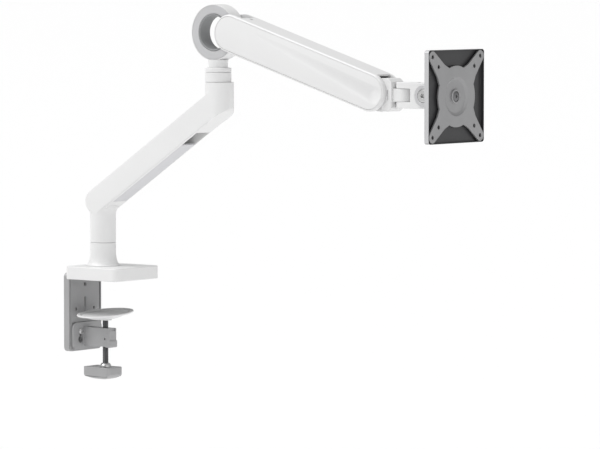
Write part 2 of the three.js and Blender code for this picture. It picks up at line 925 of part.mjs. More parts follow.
function elbowShaft() {
  return cut(
    bar("z", shaftRadius, shaftFoot, elbowShaftTop, elbowReach),
    bar("z", retainerRadius + gap, shaftFoot - 1, shaftFoot + retainerReach + 2, elbowReach),
  );
}

function ringFace(side) {
  const inner = side * (ringHalfWidth - facePlateThickness);
  const outer = side * ringHalfWidth;
  const plate = ringTube(
    ringRadius - ringRim - gap,
    ringInnerRadius + gap,
    Math.min(inner, outer),
    Math.max(inner, outer),
  );
  return cut(plate, ...pivotBores());
}

function ringLiner() {
  const outer = ringInnerRadius - gap;
  return ringTube(outer, outer - linerWall, -ringHalfWidth, ringHalfWidth);
}

function mainPivotBush() {
  const inner = mainPinRadius + gap;
  const reach = cavityHalfWidth - gap;
  return tube("y", inner + mainBushWall, inner, -reach, reach, mainPivotX, ringZ);
}

function hubLinkPin() {
  const reach = ringHalfWidth + gap + linkThickness;
  return bar("y", linkPinRadius, -reach, reach, mainPivotX - linkBack, ringZ - linkBelow);
}

// ---- Upper arm ----

const upperArm = new THREE.Group();
upperArm.position.set(mainPivotX, 0, ringZ);
upperArm.rotation.y = drop;

const tipCentre = armLength + tipOverhang - upperHalfDepth;
const frameWallOuter = cavityHalfWidth + upperWall;
const skinLevel = upperHalfDepth - upperSkin;
const pinReach = frameWallOuter - gap;

function upperArmFrame() {
  const beyond = 40;
  const cavity = join(
    block(-beyond, hubSlotEnd, -cavityHalfWidth, cavityHalfWidth, -beyond, beyond),
    block(hubSlotEnd - 1, tipSlotStart + 1, -cavityHalfWidth, cavityHalfWidth, -beyond, skinLevel),
    block(tipSlotStart, armLength + beyond, -cavityHalfWidth, cavityHalfWidth, -beyond, beyond),
  );
  const panel = stadium(hubEndCentre, tipCentre, upperHalfDepth - coverInset);
  return cut(
    slab("y", stadium(hubEndCentre, tipCentre, upperHalfDepth), -upperHalfWidth, upperHalfWidth, upperEdge),
    cavity,
    slab("y", panel, -upperHalfWidth - 1, -frameWallOuter),
    slab("y", panel, frameWallOuter, upperHalfWidth + 1),
    bar("y", mainPinRadius + gap, -beyond, beyond, 0, 0),
    bar("y", tipPinRadius + gap, -beyond, beyond, armLength, 0),
    bar("z", tensionHoleRadius, 0, beyond, tensionAt),
  );
}

function sideCover(side) {
  const inner = side * (frameWallOuter + gap);
  const outer = side * upperHalfWidth;
  const shape = stadium(hubEndCentre, tipCentre, upperHalfDepth - coverInset - gap);
  const dimple = outer - side * 0.8;
  const panel = slab("y", shape, Math.min(inner, outer), Math.max(inner, outer), 0.8);
  return cut(
    panel,
    bar("y", 10, Math.min(dimple, outer + side), Math.max(dimple, outer + side), armLength, 0),
  );
}

function armBottomCover() {
  const half = cavityHalfWidth - gap;
  return block(hubSlotEnd, tipSlotStart, -half, half, -upperHalfDepth, -skinLevel);
}

function armPin(radius, x) {
  return bar("y", radius, -pinReach, pinReach, x, 0);
}

const tensionHeadTop = skinLevel - gap;

function tensionScrew() {
  return cut(
    join(
      bar("z", tensionScrewRadius, -15, tensionHeadTop - 2, tensionAt),
      bar("z", 4.6, tensionHeadTop - 4.5, tensionHeadTop, tensionAt),
    ),
    bar("z", 2, tensionHeadTop - 3, tensionHeadTop + 1, tensionAt),
  );
}

const nutHalf = 5;

function tensionNut() {
  return cut(
    join(
      block(
        tensionAt - nutHalf,
        tensionAt + nutHalf,
        -nutHalf,
        nutHalf,
        nutHeight - nutHalf,
        nutHeight + nutHalf,
      ),
      bar("y", trunnionRadius, -gasRadius, gasRadius, tensionAt, nutHeight),
    ),
    bar("z", tensionScrewRadius + gap, nutHeight - 10, nutHeight + 10, tensionAt),
  );
}

// The gas spring's own frame: x from the nut's trunnion towards the pin at the tip.
const gasFrame = new THREE.Group();
gasFrame.position.set(tensionAt, 0, nutHeight);
gasFrame.rotation.y = -gasAngle;
upperArm.add(gasFrame);

function gasCylinder() {
  const eye = trunnionRadius + 3;
  const forkInner = nutHalf + gap;
  const fork = slab("y", stadium(0, 20, eye), -gasRadius + 0.4, gasRadius - 0.4);
  return cut(
    join(bar("x", gasRadius, 14, gasLength), fork),
    block(-eye - 1, 12, -forkInner, forkInner, -eye - 1, eye + 1),
    bar("y", trunnionRadius + gap, -20, 20, 0, 0),
    bar("x", gasRadius - gasWall, 20, gasLength - 6),
    bar("x", gasRodRadius + gap, 30, gasLength + 1),
  );
}

function gasRod() {
  const eye = gasPinRadius + gasPinPlay + 1.8;
  return cut(
    join(
      bar("x", gasRodRadius, pistonAt, gasSpan - gasPinRadius - 1),
      bar("x", gasRadius - gasWall - gap, pistonAt - 4, pistonAt + 6),
      bar("y", eye, -gasRodRadius, gasRodRadius, gasSpan, 0),
    ),
    bar("y", gasPinRadius + gasPinPlay, -10, 10, gasSpan, 0),
  );
}

function levelLink(side) {
  const inner = side * (ringHalfWidth + gap);
  const outer = inner + side * linkThickness;
  const from = Math.min(inner, outer);
  const to = Math.max(inner, outer);
  return cut(
    slab("y", stadium(0, armLength, linkHalfDepth + 0.5), from, to),
    bar("y", linkPinRadius + gap, from - 1, to + 1, 0, 0),
    bar("y", linkPinRadius + gap, from - 1, to + 1, armLength, 0),
  );
}

const linkFrame = new THREE.Group();
linkFrame.position.set(mainPivotX - linkBack, 0, ringZ - linkBelow);
linkFrame.rotation.y = drop;

// ---- Head, level: x from the tip pivot, z from its height ----

const head = new THREE.Group();
head.position.set(tipX, 0, tipZ);

function tipBlock() {
  const quarter = Math.PI / 2;
  const step = blockFront + chamferLength;
  const back = outline([
    ...arc(0, 0, blockHalfHeight, quarter, 3 * quarter),
    [8, -blockHalfHeight],
    [8, blockHalfHeight],
  ]);
  const front = outline([
    [6.5, -blockHalfHeight],
    [blockFront, -blockHalfHeight],
    [step, -forkHalfHeight],
    [step, forkHalfHeight],
    [blockFront, blockHalfHeight],
    [6.5, blockHalfHeight],
  ]);
  const rodRoom = cut(
    block(-30, 10, -gasRodRadius - gap, gasRodRadius + gap, -30, 30),
    bar("y", tipPinRadius + 1.8, -10, 10, 0, 0),
  );
  const tongue = slab(
    "z",
    stadium(step - 6, panOffset, forkRadius - 0.6),
    -tongueHalfHeight,
    tongueHalfHeight,
  );
  const knuckleRoom = cut(
    bar("z", forkRadius + 1, -30, 30, panOffset),
    bar("z", forkRadius + 2, -tongueHalfHeight, tongueHalfHeight, panOffset),
  );
  const slit = slab(
    "y",
    roundedRectangle(blockFront - 1.4, blockFront, -6.6, 6.6, 0.6),
    -blockFrontHalfWidth - 1,
    -blockFrontHalfWidth + 2,
  );
  return cut(
    join(
      slab("y", back, -blockBackHalfWidth, blockBackHalfWidth),
      slab("y", front, -blockFrontHalfWidth, blockFrontHalfWidth),
      tongue,
    ),
    rodRoom,
    knuckleRoom,
    slit,
    bar("y", tipPinRadius + gap, -20, 20, 0, 0),
    bar("y", gasPinRadius + gap, -9, 9, 0, gasLift),
    bar("y", linkPinRadius + gap, -20, 20, -linkBack, -linkBelow),
    bar("z", panPinRadius + gap, -20, 20, panOffset),
  );
}

function tipLinkPin() {
  const reach = ringHalfWidth + gap + linkThickness;
  return bar("y", linkPinRadius, -reach, reach, -linkBack, -linkBelow);
}

function gasTipPin() {
  return bar("y", gasPinRadius, -9 + gap, 9 - gap, 0, gasLift);
}

const forkWebStart = 16; // from the pan axis to the closed end of the fork's mouth

function panFork() {
  const quarter = Math.PI / 2;
  const tiltAt = panOffset + tiltOffset;
  const web = panOffset + forkWebStart;
  const plan = outline([
    ...arc(panOffset, 0, forkRadius, quarter, 3 * quarter),
    [tiltAt + forkHalfHeight, -forkRadius],
    [tiltAt + forkHalfHeight, forkRadius],
  ]);
  const side = outline([
    ...arc(tiltAt, 0, forkHalfHeight, -quarter, quarter),
    [panOffset - forkRadius - 1, forkHalfHeight],
    [panOffset - forkRadius - 1, -forkHalfHeight],
  ]);
  const mouth = block(
    panOffset - forkRadius - 2,
    web,
    -20,
    20,
    -tongueHalfHeight - gap,
    tongueHalfHeight + gap,
  );
  const tiltRoom = tiltTongueHalfWidth + gap;
  return cut(
    slab("z", plan, -forkHalfHeight, forkHalfHeight).intersect(slab("y", side, -forkRadius, forkRadius, 1)),
    mouth,
    block(web + 5, tiltAt + 30, -tiltRoom, tiltRoom, -30, 30),
    bar("z", panPinRadius + gap, -20, 20, panOffset),
    bar("y", tiltPinRadius + gap, -20, 20, tiltAt, 0),
    bar("z", 1.6, forkHalfHeight - 3, forkHalfHeight + 1, web + 2),
    bar("z", 1.6, -forkHalfHeight - 1, -forkHalfHeight + 3, web + 2),
  );
}

function panPin() {
  return bar("z", panPinRadius, -forkHalfHeight + 0.4, forkHalfHeight - 0.4, panOffset);
}

function tiltDisc(side) {
  const tiltAt = panOffset + tiltOffset;
  const inner = side * (forkRadius + gap);
  const outer = inner + side * tiltDiscThickness;
  return tube(
    "y",
    tiltDiscRadius,
    tiltHeadRadius + gap,
    Math.min(inner, outer),
    Math.max(inner, outer),
    tiltAt,
    0,
  );
}

function tiltBolt() {
  const tiltAt = panOffset + tiltOffset;
  const face = -forkRadius - gap;
  return cut(
    join(
      bar("y", tiltHeadRadius, face - tiltDiscThickness - 0.6, face, tiltAt, 0),
      bar("y", tiltPinRadius, face - 1, forkRadius + 1.6, tiltAt, 0),
    ),
    bar("y", 3, face - 6, face - 1, tiltAt, 0),
  );
}

function tiltNut() {
  const tiltAt = panOffset + tiltOffset;
  const face = forkRadius + gap;
  return cut(
    slab("y", outline(hexagon(tiltAt, 7.4)), face, face + tiltDiscThickness + 0.8),
    bar("y", tiltPinRadius + gap, 0, 30, tiltAt, 0),
  );
}

function hexagon(x, radius) {
  return Array.from({ length: 6 }, (_, i) => [
    x + radius * Math.cos((i * Math.PI) / 3),
    radius * Math.sin((i * Math.PI) / 3),
  ]);
}

const trayBack = plateX - tipX - trayDepth;
const plateFront = plateX - tipX;

function tiltBlock() {
  const tiltAt = panOffset + tiltOffset;
  const clear = tiltAt + forkHalfHeight + 1;
  const knuckle = forkHalfHeight - 1.5;
  return cut(
    join(
      slab("y", stadium(tiltAt, clear, knuckle), -tiltTongueHalfWidth, tiltTongueHalfWidth),
      slab("x", roundedRectangle(-forkRadius, forkRadius, -13, 13, 3), clear, trayBack - 5),
      bar("x", flangeRadius, trayBack - 6.5, trayBack - gap),
    ),
    bar("y", tiltPinRadius + gap, -20, 20, tiltAt, 0),
    bar("x", rotationBoltRadius + gap, clear - 8, trayBack + 1),
  ).intersect(
    join(
      block(-10, clear, -tiltTongueHalfWidth, tiltTongueHalfWidth, -30, 30),
      block(clear - 0.01, trayBack, -30, 30, -30, 30),
    ),
  );
}

// ---- Monitor plate ----

function squarePlate(half, corner) {
  return roundedRectangle(-half, half, -half, half, corner);
}

// The tray's rim stops just behind the spider's face, so that the monitor bears on the spider.
function vesaTray() {
  const inner = trayHalf - trayRim;
  return cut(
    slab("x", squarePlate(trayHalf, trayCorner), trayBack, plateFront - gap),
    slab("x", squarePlate(inner, trayCorner - trayRim), trayBack + trayFloor, plateFront),
    bar("x", rotationBoltRadius + gap, trayBack - 1, plateFront),
  );
}

function spiderArm(y, z) {
  const reach = (wideHoles / 2) * Math.SQRT2;
  const end = spiderEndRadius;
  const shape = outline([
    [0, -spiderRootHalfWidth],
    [spiderHubRadius, -spiderRootHalfWidth],
    ...arc(reach, 0, end, -Math.PI / 2, Math.PI / 2),
    [spiderHubRadius, spiderRootHalfWidth],
    [0, spiderRootHalfWidth],
  ]);
  const arm = slab("x", shape, plateFront - spiderThickness, plateFront);
  return moved(arm, new THREE.Matrix4().makeRotationX(Math.atan2(z, y)));
}

function vesaSpider() {
  const face = plateFront;
  const corners = [-1, 1].flatMap((y) => [-1, 1].map((z) => ({ y, z })));
  const holes = corners.flatMap(({ y, z }) =>
    [wideHoles, narrowHoles].map((side) =>
      bar("x", plateHoleRadius, face - 10, face + 1, (y * side) / 2, (z * side) / 2),
    ),
  );
  const cupBack = trayBack + trayFloor + gap;
  return cut(
    join(
      bar("x", spiderHubRadius, face - spiderThickness, face),
      ...corners.map(({ y, z }) => spiderArm(y, z)),
      bar("x", dishRadius, cupBack, face - 1),
    ),
    bar("x", dishRadius - 2, cupBack + 1.6, face + 1),
    ...holes,
  )
    .add(tube("x", 9.3, 6.6, cupBack + 1, face - 0.6))
    .subtract(bar("x", rotationBoltRadius + gap, cupBack - 1, face + 1));
}

function rotationBolt() {
  const seat = trayBack + trayFloor + gap + 1.6 + gap;
  return cut(
    join(
      bar("x", 6, seat, seat + 1.9),
      bar("x", rotationBoltRadius, trayBack - 18, seat + 1),
    ),
    bar("x", 2, seat + 1, seat + 4),
  );
}

// ---- Assembly ----

piece("base_pad", basePad(), rubber);
piece("base_plate", basePlate(), steel);
piece("base_cover", baseCover(), whitePaint);
piece("base_post", basePost(), whitePaint);
piece("post_shaft", postShaft(), steel);
piece("post_bolt", postBolt(), blackSteel);
piece("post_retaining_screw", retainingScrew(0, postShaftTop, 1), blackSteel);
piece("clamp_back_plate", clampBackPlate(), greyPaint);
shelfScrewPlaces.forEach((place, i) => piece(`shelf_screw_${i + 1}`, shelfScrew(place), blackSteel));
piece("jaw_bracket", jawBracket(), greyPaint);
jawBoltPlaces.forEach((y, i) => piece(`jaw_bolt_${i + 1}`, jawBolt(y), steel));

monitorArm.add(discFrame);
piece("pressure_disc", pressureDisc(), whitePlastic, discFrame);
piece("disc_pad", discPad(), whitePlastic, discFrame);
piece("disc_snap_ring", snapRing(), steel);
piece("clamp_screw", clampScrew(), blackSteel);
piece("knob_collar", knobCollar(), steel);
piece("clamp_knob", clampKnob(), greyPaint);

piece("lower_arm_body", lowerArmBody(), whitePaint);
piece("cable_cover", cableCover(), whitePlastic);
piece("post_bush_lower", bush(0, postSeam + gap), bronze);
piece("post_bush_upper", bush(0, postShaftTop - bushLength), bronze);
piece("elbow_bush_lower", bush(elbowReach, shaftFoot), bronze);
piece("elbow_bush_upper", bush(elbowReach, elbowSeam - bushLength), bronze);

piece("elbow_collar", collar(collarBottom, collarHeight), whitePaint);
piece("elbow_trim_ring", collar(trimBottom, trimRingHeight - gap), whitePlastic);
piece("hub_ring", hubRing(), whitePaint);
piece("ring_face_near", ringFace(-1), silverPaint);
piece("ring_face_far", ringFace(1), silverPaint);
piece("ring_liner", ringLiner(), darkPlastic);
piece("elbow_shaft", elbowShaft(), steel);
piece("elbow_retaining_screw", retainingScrew(elbowReach, shaftFoot, -1), blackSteel);
piece("main_pivot_bush", mainPivotBush(), bronze);
piece("hub_link_pin", hubLinkPin(), steel);

monitorArm.add(upperArm);
piece("upper_arm_frame", upperArmFrame(), whitePaint, upperArm);
piece("side_cover_near", sideCover(-1), whitePlastic, upperArm);
piece("side_cover_far", sideCover(1), whitePlastic, upperArm);
piece("arm_bottom_cover", armBottomCover(), whitePlastic, upperArm);
piece("main_pivot_pin", armPin(mainPinRadius, 0), steel, upperArm);
piece("tip_pivot_pin", armPin(tipPinRadius, armLength), steel, upperArm);
piece("tension_screw", tensionScrew(), blackSteel, upperArm);
piece("tension_nut", tensionNut(), steel, upperArm);
piece("gas_cylinder", gasCylinder(), blackSteel, gasFrame);
piece("gas_rod", gasRod(), steel, gasFrame);

monitorArm.add(linkFrame);
piece("level_link_near", levelLink(-1), steel, linkFrame);
piece("level_link_far", levelLink(1), steel, linkFrame);

monitorArm.add(head);
piece("tip_block", tipBlock(), whitePaint, head);
piece("tip_link_pin", tipLinkPin(), steel, head);
piece("gas_tip_pin", gasTipPin(), steel, head);
piece("pan_fork", panFork(), whitePaint, head);
piece("pan_pin", panPin(), steel, head);
piece("tilt_disc_near", tiltDisc(-1), silverPaint, head);
piece("tilt_disc_far", tiltDisc(1), silverPaint, head);
piece("tilt_bolt", tiltBolt(), steel, head);
piece("tilt_nut", tiltNut(), steel, head);
piece("tilt_block", tiltBlock(), whitePaint, head);
piece("vesa_tray", vesaTray(), silverPaint, head);
piece("vesa_spider", vesaSpider(), greyPaint, head);
piece("rotation_bolt", rotationBolt(), blackSteel, head);

export default monitorArm;
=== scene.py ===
"""The looks of a desk-clamped monitor arm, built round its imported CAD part.

Shapes are written in millimetres, in the part's own frame: +Z up, and +X from the post towards the monitor.
"""

import json
import math

import bmesh
import bpy
from mathutils import Matrix, Vector


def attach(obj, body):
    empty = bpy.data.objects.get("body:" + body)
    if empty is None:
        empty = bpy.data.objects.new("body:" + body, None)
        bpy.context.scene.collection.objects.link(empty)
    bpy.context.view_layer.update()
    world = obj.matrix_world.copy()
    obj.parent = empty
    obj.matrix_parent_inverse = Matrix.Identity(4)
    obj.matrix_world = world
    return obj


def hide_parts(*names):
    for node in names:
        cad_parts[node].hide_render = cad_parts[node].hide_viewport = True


MM = 0.001

# ---- Dimensions, as in the CAD part ----

GAP = 0.3  # between pieces that touch or run on each other

BASE_BACK, BASE_LENGTH, BASE_WIDTH, BASE_HEIGHT, BASE_CORNER = -30.0, 92.0, 90.0, 17.5, 8.0
COVER_WALL = 2.5
PAD_TOP = 1.5
PAD_INSET = COVER_WALL + 1.2
SHELF_WIDTH, SHELF_REACH, SHELF_BOTTOM, SHELF_TOP = 56.0, 22.0, 1.8, 6.3
POST_RADIUS, POST_FLARE, POST_FLARE_HEIGHT = 17.25, 24.0, 18.0
POST_SEAM = 48.5
POST_SPIGOT, POST_FOOT = POST_RADIUS - 2, 12.1
SHAFT_RADIUS = 10.0
PLATE_FACE = -32.3
PLATE_THICKNESS = 9.5
PLATE_WIDTH = 66.0
PLATE_TOP, PLATE_BOTTOM, PLATE_CORNER = 7.5, -98.5, 6.0
PLATE_HOLES = ((2.4, 0, -9), (1.9, -17.8, -42), (1.9, 17.8, -42))  # (radius, y, z)
GROOVE_INSET, GROOVE_HALF, GROOVE_DEPTH = 3.4, 0.6, 1.2
GROOVE_TOP, GROOVE_BOTTOM = -3.0, PLATE_BOTTOM + 9.5
SLOT_HALF, SLOT_TOP, SLOT_BOTTOM = 2.2, -26.0, -54.0
POCKET_DEPTH = 5.0

JAW_BACK = PLATE_FACE + GAP
JAW_TOP, JAW_BOTTOM, JAW_CORNER = -60.0, -96.0, 8.0
JAW_FLANGE_HALF, JAW_FLANGE_THICKNESS = 29.0, 3.6
JAW_ARM_HALF, JAW_ARM_TOP, JAW_ARM_BOTTOM, JAW_END = 7.0, -66.5, -91.5, 16.7
JAW_BOLT_Y, JAW_BOLT_Z, JAW_BOLT_RADIUS, JAW_HEAD_RADIUS = 14.0, -72.0, 2.5, 4.0
KEYHOLE_DROP, KEYHOLE_RADIUS, KEYHOLE_NECK = 11.0, 4.6, JAW_BOLT_RADIUS + GAP
SIGHT_HOLE_X, SIGHT_HOLE_Z, SIGHT_HOLE_RADIUS = 8.5, -81.0, 1.5
SCREW_X, SCREW_RADIUS, THREAD_PITCH = 3.7, 4.0, 1.25
DISC_TOP, DISC_THICKNESS, DISC_LEAN = -45.5, 8.0, 4.0
DISC_DEPTH, DISC_LENGTH, DISC_RIM, DISC_SOCKET = 34.0, 43.0, 5.0, 6.2
BALL_Z = DISC_TOP - DISC_THICKNESS + 3
KNOB_TOP, KNOB_THICKNESS, KNOB_WIDTH = -119.0, 16.5, 29.5
KNOB_LONG, KNOB_SHORT = 28.0, 18.0
KNOB_COLLAR_RADIUS, KNOB_COLLAR_HEIGHT = 7.8, 5.0

ARM_SLOPE = math.radians(33.3)
ARM_END_X, ARM_END_Z = -1.2, POST_SEAM + 55.4
ARM_HALF_DEPTH, ARM_HALF_WIDTH, ARM_EDGE = 16.4, 17.25, 2.5
SOCKET_FLARE, SOCKET_FLARE_HEIGHT = 22.0, 12.0
SOCKET_FLARE_TOP = ARM_END_Z - 8
ELBOW_X = 201.0
BEAM_LENGTH = (ELBOW_X - ARM_END_X) / math.cos(ARM_SLOPE)
ELBOW_SEAM = ARM_END_Z + (ELBOW_X - ARM_END_X) * math.tan(ARM_SLOPE) + 30.2
COLUMN_EXTRA, COLUMN_FOOT = 4.2, 3.5
CHANNEL_HALF, CHANNEL_START, CHANNEL_END, CHANNEL_ROOF = 13.4, 26.0, 200.0, 4.5
CABLE_COVER_LENGTH, CABLE_COVER_THICKNESS = 143.0, 2.6
SOCKET_BORE = 12.8

COLLAR_BOTTOM, COLLAR_HEIGHT, TRIM_HEIGHT = ELBOW_SEAM + GAP, 12.5, 5.6
TRIM_BOTTOM = COLLAR_BOTTOM + COLLAR_HEIGHT + GAP
NECK_RADIUS = 12.75
RING_Z = ELBOW_SEAM + 65
RING_RADIUS, RING_INNER, RING_HALF, RING_RIM = 36.6, 24.5, 10.5, 1.0
FACE_THICKNESS = 1.2
MAIN_BORE, LINK_BORE = 5.1, 2.8
LINK_X, LINK_Z = -3.0, -15.0  # of the levelling links, from each pivot
PIVOT_X = ELBOW_X + 30

ARM_DROP = math.radians(17.42)
ARM_LENGTH = 253.0
UPPER_DEPTH, UPPER_WIDTH, UPPER_EDGE = 24.5, 19.5, 3.0
UPPER_WALL_FACE = 16.6
CAVITY_HALF = 13.3
UPPER_SKIN = 2.7
COVER_INSET = 2.5
HUB_END = 2.5
TIP_CENTRE = ARM_LENGTH + 14.2 - UPPER_DEPTH
HUB_SLOT_END, TIP_SLOT_START = 14.0, 245.0
TENSION_AT, TENSION_HOLE = 20.0, 2.8
DIMPLE_RADIUS = 8.6
TIP_X = PIVOT_X + ARM_LENGTH * math.cos(ARM_DROP)
TIP_Z = RING_Z - ARM_LENGTH * math.sin(ARM_DROP)

BLOCK_HALF, BLOCK_BACK_WIDTH, BLOCK_FRONT_WIDTH = 21.0, 10.5, 13.0
BLOCK_FRONT, BLOCK_STEP = 17.0, 22.4
PAN_AT, TILT_AT, PLATE_AT = 34.0, 72.0, 115.0
TONGUE_HALF = 8.2
TIP_BORE, PAN_BORE, TILT_BORE, ROTATION_BORE = 4.3, 3.8, 4.3, 3.3
GAS_PIN_Z = 14.0
FORK_RADIUS, FORK_HALF = 11.0, 16.5
FORK_WEB = PAN_AT + 16
FORK_MARK = 1.6
TILT_TONGUE_HALF = 5.0
TILT_FLANGE, TILT_SHOULDER_HALF = 19.0, 13.0
TILT_DISC, TILT_DISC_THICKNESS, TILT_HEAD = 13.7, 2.0, 8.3
TRAY_HALF, TRAY_DEPTH, TRAY_CORNER, TRAY_RIM, TRAY_FLOOR = 58.5, 7.0, 4.0, 1.0, 2.4
SPIDER_THICKNESS, SPIDER_HUB, SPIDER_END, SPIDER_ROOT = 2.6, 38.5, 7.2, 11.5
DISH_RADIUS = 24.5
HOLE_SQUARES, HOLE_RADIUS = (100.0, 75.0), 2.5

# ---- The camera, the floor and the light ----

CAMERA_PLACE = (3.5654, -4.0581, 0.4240)  # metres
CAMERA_AZIMUTH, CAMERA_PITCH = 38.5, 3.73  # degrees
CAMERA_LENS, CAMERA_SENSOR = 241.9, 36.0  # millimetres
CAMERA_REACH = 2000  # how far it sees, in metres
FLOOR_Z, FLOOR_HALF = -0.6, 300.0  # metres
SKY_STRENGTH = 0.5

# ---- Outlines: lists of (a, b) points ----

ARC_STEP = 4.0  # degrees


def arc(a, b, radius, start, end):
    steps = max(2, round(abs(end - start) / ARC_STEP))
    angles = [math.radians(start + (end - start) * i / steps) for i in range(steps + 1)]
    return [(a + radius * math.cos(t), b + radius * math.sin(t)) for t in angles]


def circle(a, b, radius):
    return arc(a, b, radius, 0, 360)[1:]


def rounded_rectangle(a0, a1, b0, b1, radius):
    return [
        *arc(a1 - radius, b0 + radius, radius, -90, 0),
        *arc(a1 - radius, b1 - radius, radius, 0, 90),
        *arc(a0 + radius, b1 - radius, radius, 90, 180),
        *arc(a0 + radius, b0 + radius, radius, 180, 270),
    ]


def rectangle(a0, a1, b0, b1):
    return [(a0, b0), (a1, b0), (a1, b1), (a0, b1)]


def stadium(a0, a1, radius):
    return [*arc(a1, 0, radius, -90, 90), *arc(a0, 0, radius, 90, 270)]


def rounded_corners(points, radius):
    """The polygon with each corner replaced by an arc-like curve of about that radius."""
    made = []
    count = len(points)
    for i, (a, b) in enumerate(points):
        here = Vector((a, b))
        before = Vector(points[i - 1])
        after = Vector(points[(i + 1) % count])
        reach = min(radius, (before - here).length * 0.45, (after - here).length * 0.45)
        start = here + (before - here).normalized() * reach
        end = here + (after - here).normalized() * reach
        for step in range(7):
            t = step / 6
            point = start * (1 - t) ** 2 + here * 2 * t * (1 - t) + end * t**2
            made.append((point.x, point.y))
    return made


# ---- Solids ----


def in_space(axis, a, b, depth):
    if axis == "x":
        return (depth * MM, a * MM, b * MM)
    if axis == "y":
        return (a * MM, depth * MM, b * MM)
    return (a * MM, b * MM, depth * MM)


def new_object(name, shape):
    bmesh.ops.recalc_face_normals(shape, faces=shape.faces)
    mesh = bpy.data.meshes.new(name)
    shape.to_mesh(mesh)
    shape.free()
    made = bpy.data.objects.new(name, mesh)
    bpy.context.scene.collection.objects.link(made)
    return made


def lofted(name, rings, closed=False):
    """A skin over rings of points, with flat ends unless the last ring joins the first."""
    shape = bmesh.new()
    rows = [[shape.verts.new(p) for p in ring] for ring in rings]
    pairs = list(zip(rows, rows[1:]))
    if closed:
        pairs.append((rows[-1], rows[0]))
    else:
        shape.faces.new(rows[0])
        shape.faces.new(rows[-1])
    for low, high in pairs:
        for i in range(len(low)):
            j = (i + 1) % len(low)
            shape.faces.new((low[i], low[j], high[j], high[i]))
    return new_object(name, shape)


def slab(name, axis, outline, low, high):
    """An outline given thickness along an axis. It holds (y, z), (x, z) or (x, y) for axis x, y or z."""
    return lofted(name, [[in_space(axis, a, b, depth) for a, b in outline] for depth in (low, high)])


def bar(name, axis, radius, low, high, a=0.0, b=0.0):
    return slab(name, axis, circle(a, b, radius), low, high)


def hexagon(name, axis, radius, low, high, a=0.0, b=0.0):
    angles = [math.radians(60 * i) for i in range(6)]
    return slab(name, axis, [(a + radius * math.cos(t), b + radius * math.sin(t)) for t in angles], low, high)


def rounded_slab(name, outline_at, low, high, radius, steps=5):
    """A slab along Y whose long edges are round. outline_at gives the outline for an inset."""
    angles = [math.radians(90 * i / steps) for i in range(steps + 1)]
    rounding = [(radius * (1 - math.sin(angle)), radius * (1 - math.cos(angle))) for angle in angles]
    levels = [(inset, low + rise) for inset, rise in rounding]
    levels += [(inset, high - rise) for inset, rise in reversed(rounding)]
    rings = [[in_space("y", a, b, depth) for a, b in outline_at(inset)] for inset, depth in levels]
    return lofted(name, rings)


def turned(name, profile, centre=(0, 0, 0), axis="z", steps=96, closed=False):
    """A profile of (radius, height) points turned about an axis through a centre."""
    rings = []
    for radius, height in profile:
        ring = []
        for i in range(steps):
            angle = 2 * math.pi * i / steps
            point = in_space(axis, radius * math.cos(angle), radius * math.sin(angle), height)
            ring.append(Vector(point) + Vector(centre) * MM)
        rings.append(ring)
    return lofted(name, rings, closed)


def tube(name, axis, outer, inner, low, high, centre=(0, 0, 0), chamfer=0.3, steps=96):
    profile = [
        (inner, low + chamfer),
        (inner + chamfer, low),
        (outer - chamfer, low),
        (outer, low + chamfer),
        (outer, high - chamfer),
        (outer - chamfer, high),
        (inner + chamfer, high),
        (inner, high - chamfer),
    ]
    return turned(name, profile, centre, axis, steps, closed=True)


def combined(first, others, operation):
    for other in others:
        modifier = first.modifiers.new("combine", "BOOLEAN")
        modifier.operation = operation
        modifier.solver = "EXACT"
        modifier.object = other
    evaluated = first.evaluated_get(bpy.context.evaluated_depsgraph_get())
    mesh = bpy.data.meshes.new_from_object(evaluated)
    first.modifiers.clear()
    first.data = mesh
    for other in others:
        bpy.data.objects.remove(other)
    return first


def join(first, *others):
    return combined(first, others, "UNION")


def cut(first, *others):
    return combined(first, others, "DIFFERENCE")


def overlap(first, other):
    return combined(first, [other], "INTERSECT")


def box(name, x0, x1, y0, y1, z0, z1):
    return slab(name, "z", rectangle(x0, x1, y0, y1), z0, z1)


def moved(thing, matrix):
    thing.data.transform(matrix)
    return thing


def shift(x, y, z):
    return Matrix.Translation(Vector((x, y, z)) * MM)


ON_BEAM = shift(ARM_END_X, 0, ARM_END_Z) @ Matrix.Rotation(-ARM_SLOPE, 4, "Y")
ON_UPPER_ARM = shift(PIVOT_X, 0, RING_Z) @ Matrix.Rotation(ARM_DROP, 4, "Y")
ON_HEAD = shift(TIP_X, 0, TIP_Z)
ON_DISC = shift(SCREW_X, 0, BALL_Z) @ Matrix.Rotation(math.radians(DISC_LEAN), 4, "X")


# ---- Materials ----

PATCH_SCALE, SCUFF_SCALE = 22, 260


def node(tree, kind, **settings):
    made = tree.nodes.new(kind)
    for name, value in settings.items():
        if name in made.inputs:
            made.inputs[name].default_value = value
        else:
            setattr(made, name, value)
    return made


def noise(tree, place, scale, detail=3.0, stretch=(1, 1, 1)):
    mapping = node(tree, "ShaderNodeMapping", Scale=stretch)
    tree.links.new(place, mapping.inputs["Vector"])
    made = node(tree, "ShaderNodeTexNoise", Scale=scale, Detail=detail)
    tree.links.new(mapping.outputs["Vector"], made.inputs["Vector"])
    return made.outputs["Fac"]


def spread(tree, value, low, high):
    """Maps a noise, which mostly lies between 0.3 and 0.7, to a range."""
    made = node(tree, "ShaderNodeMapRange")
    made.inputs["From Min"].default_value = 0.3
    made.inputs["From Max"].default_value = 0.7
    made.inputs["To Min"].default_value = low
    made.inputs["To Max"].default_value = high
    tree.links.new(value, made.inputs["Value"])
    return made.outputs["Result"]


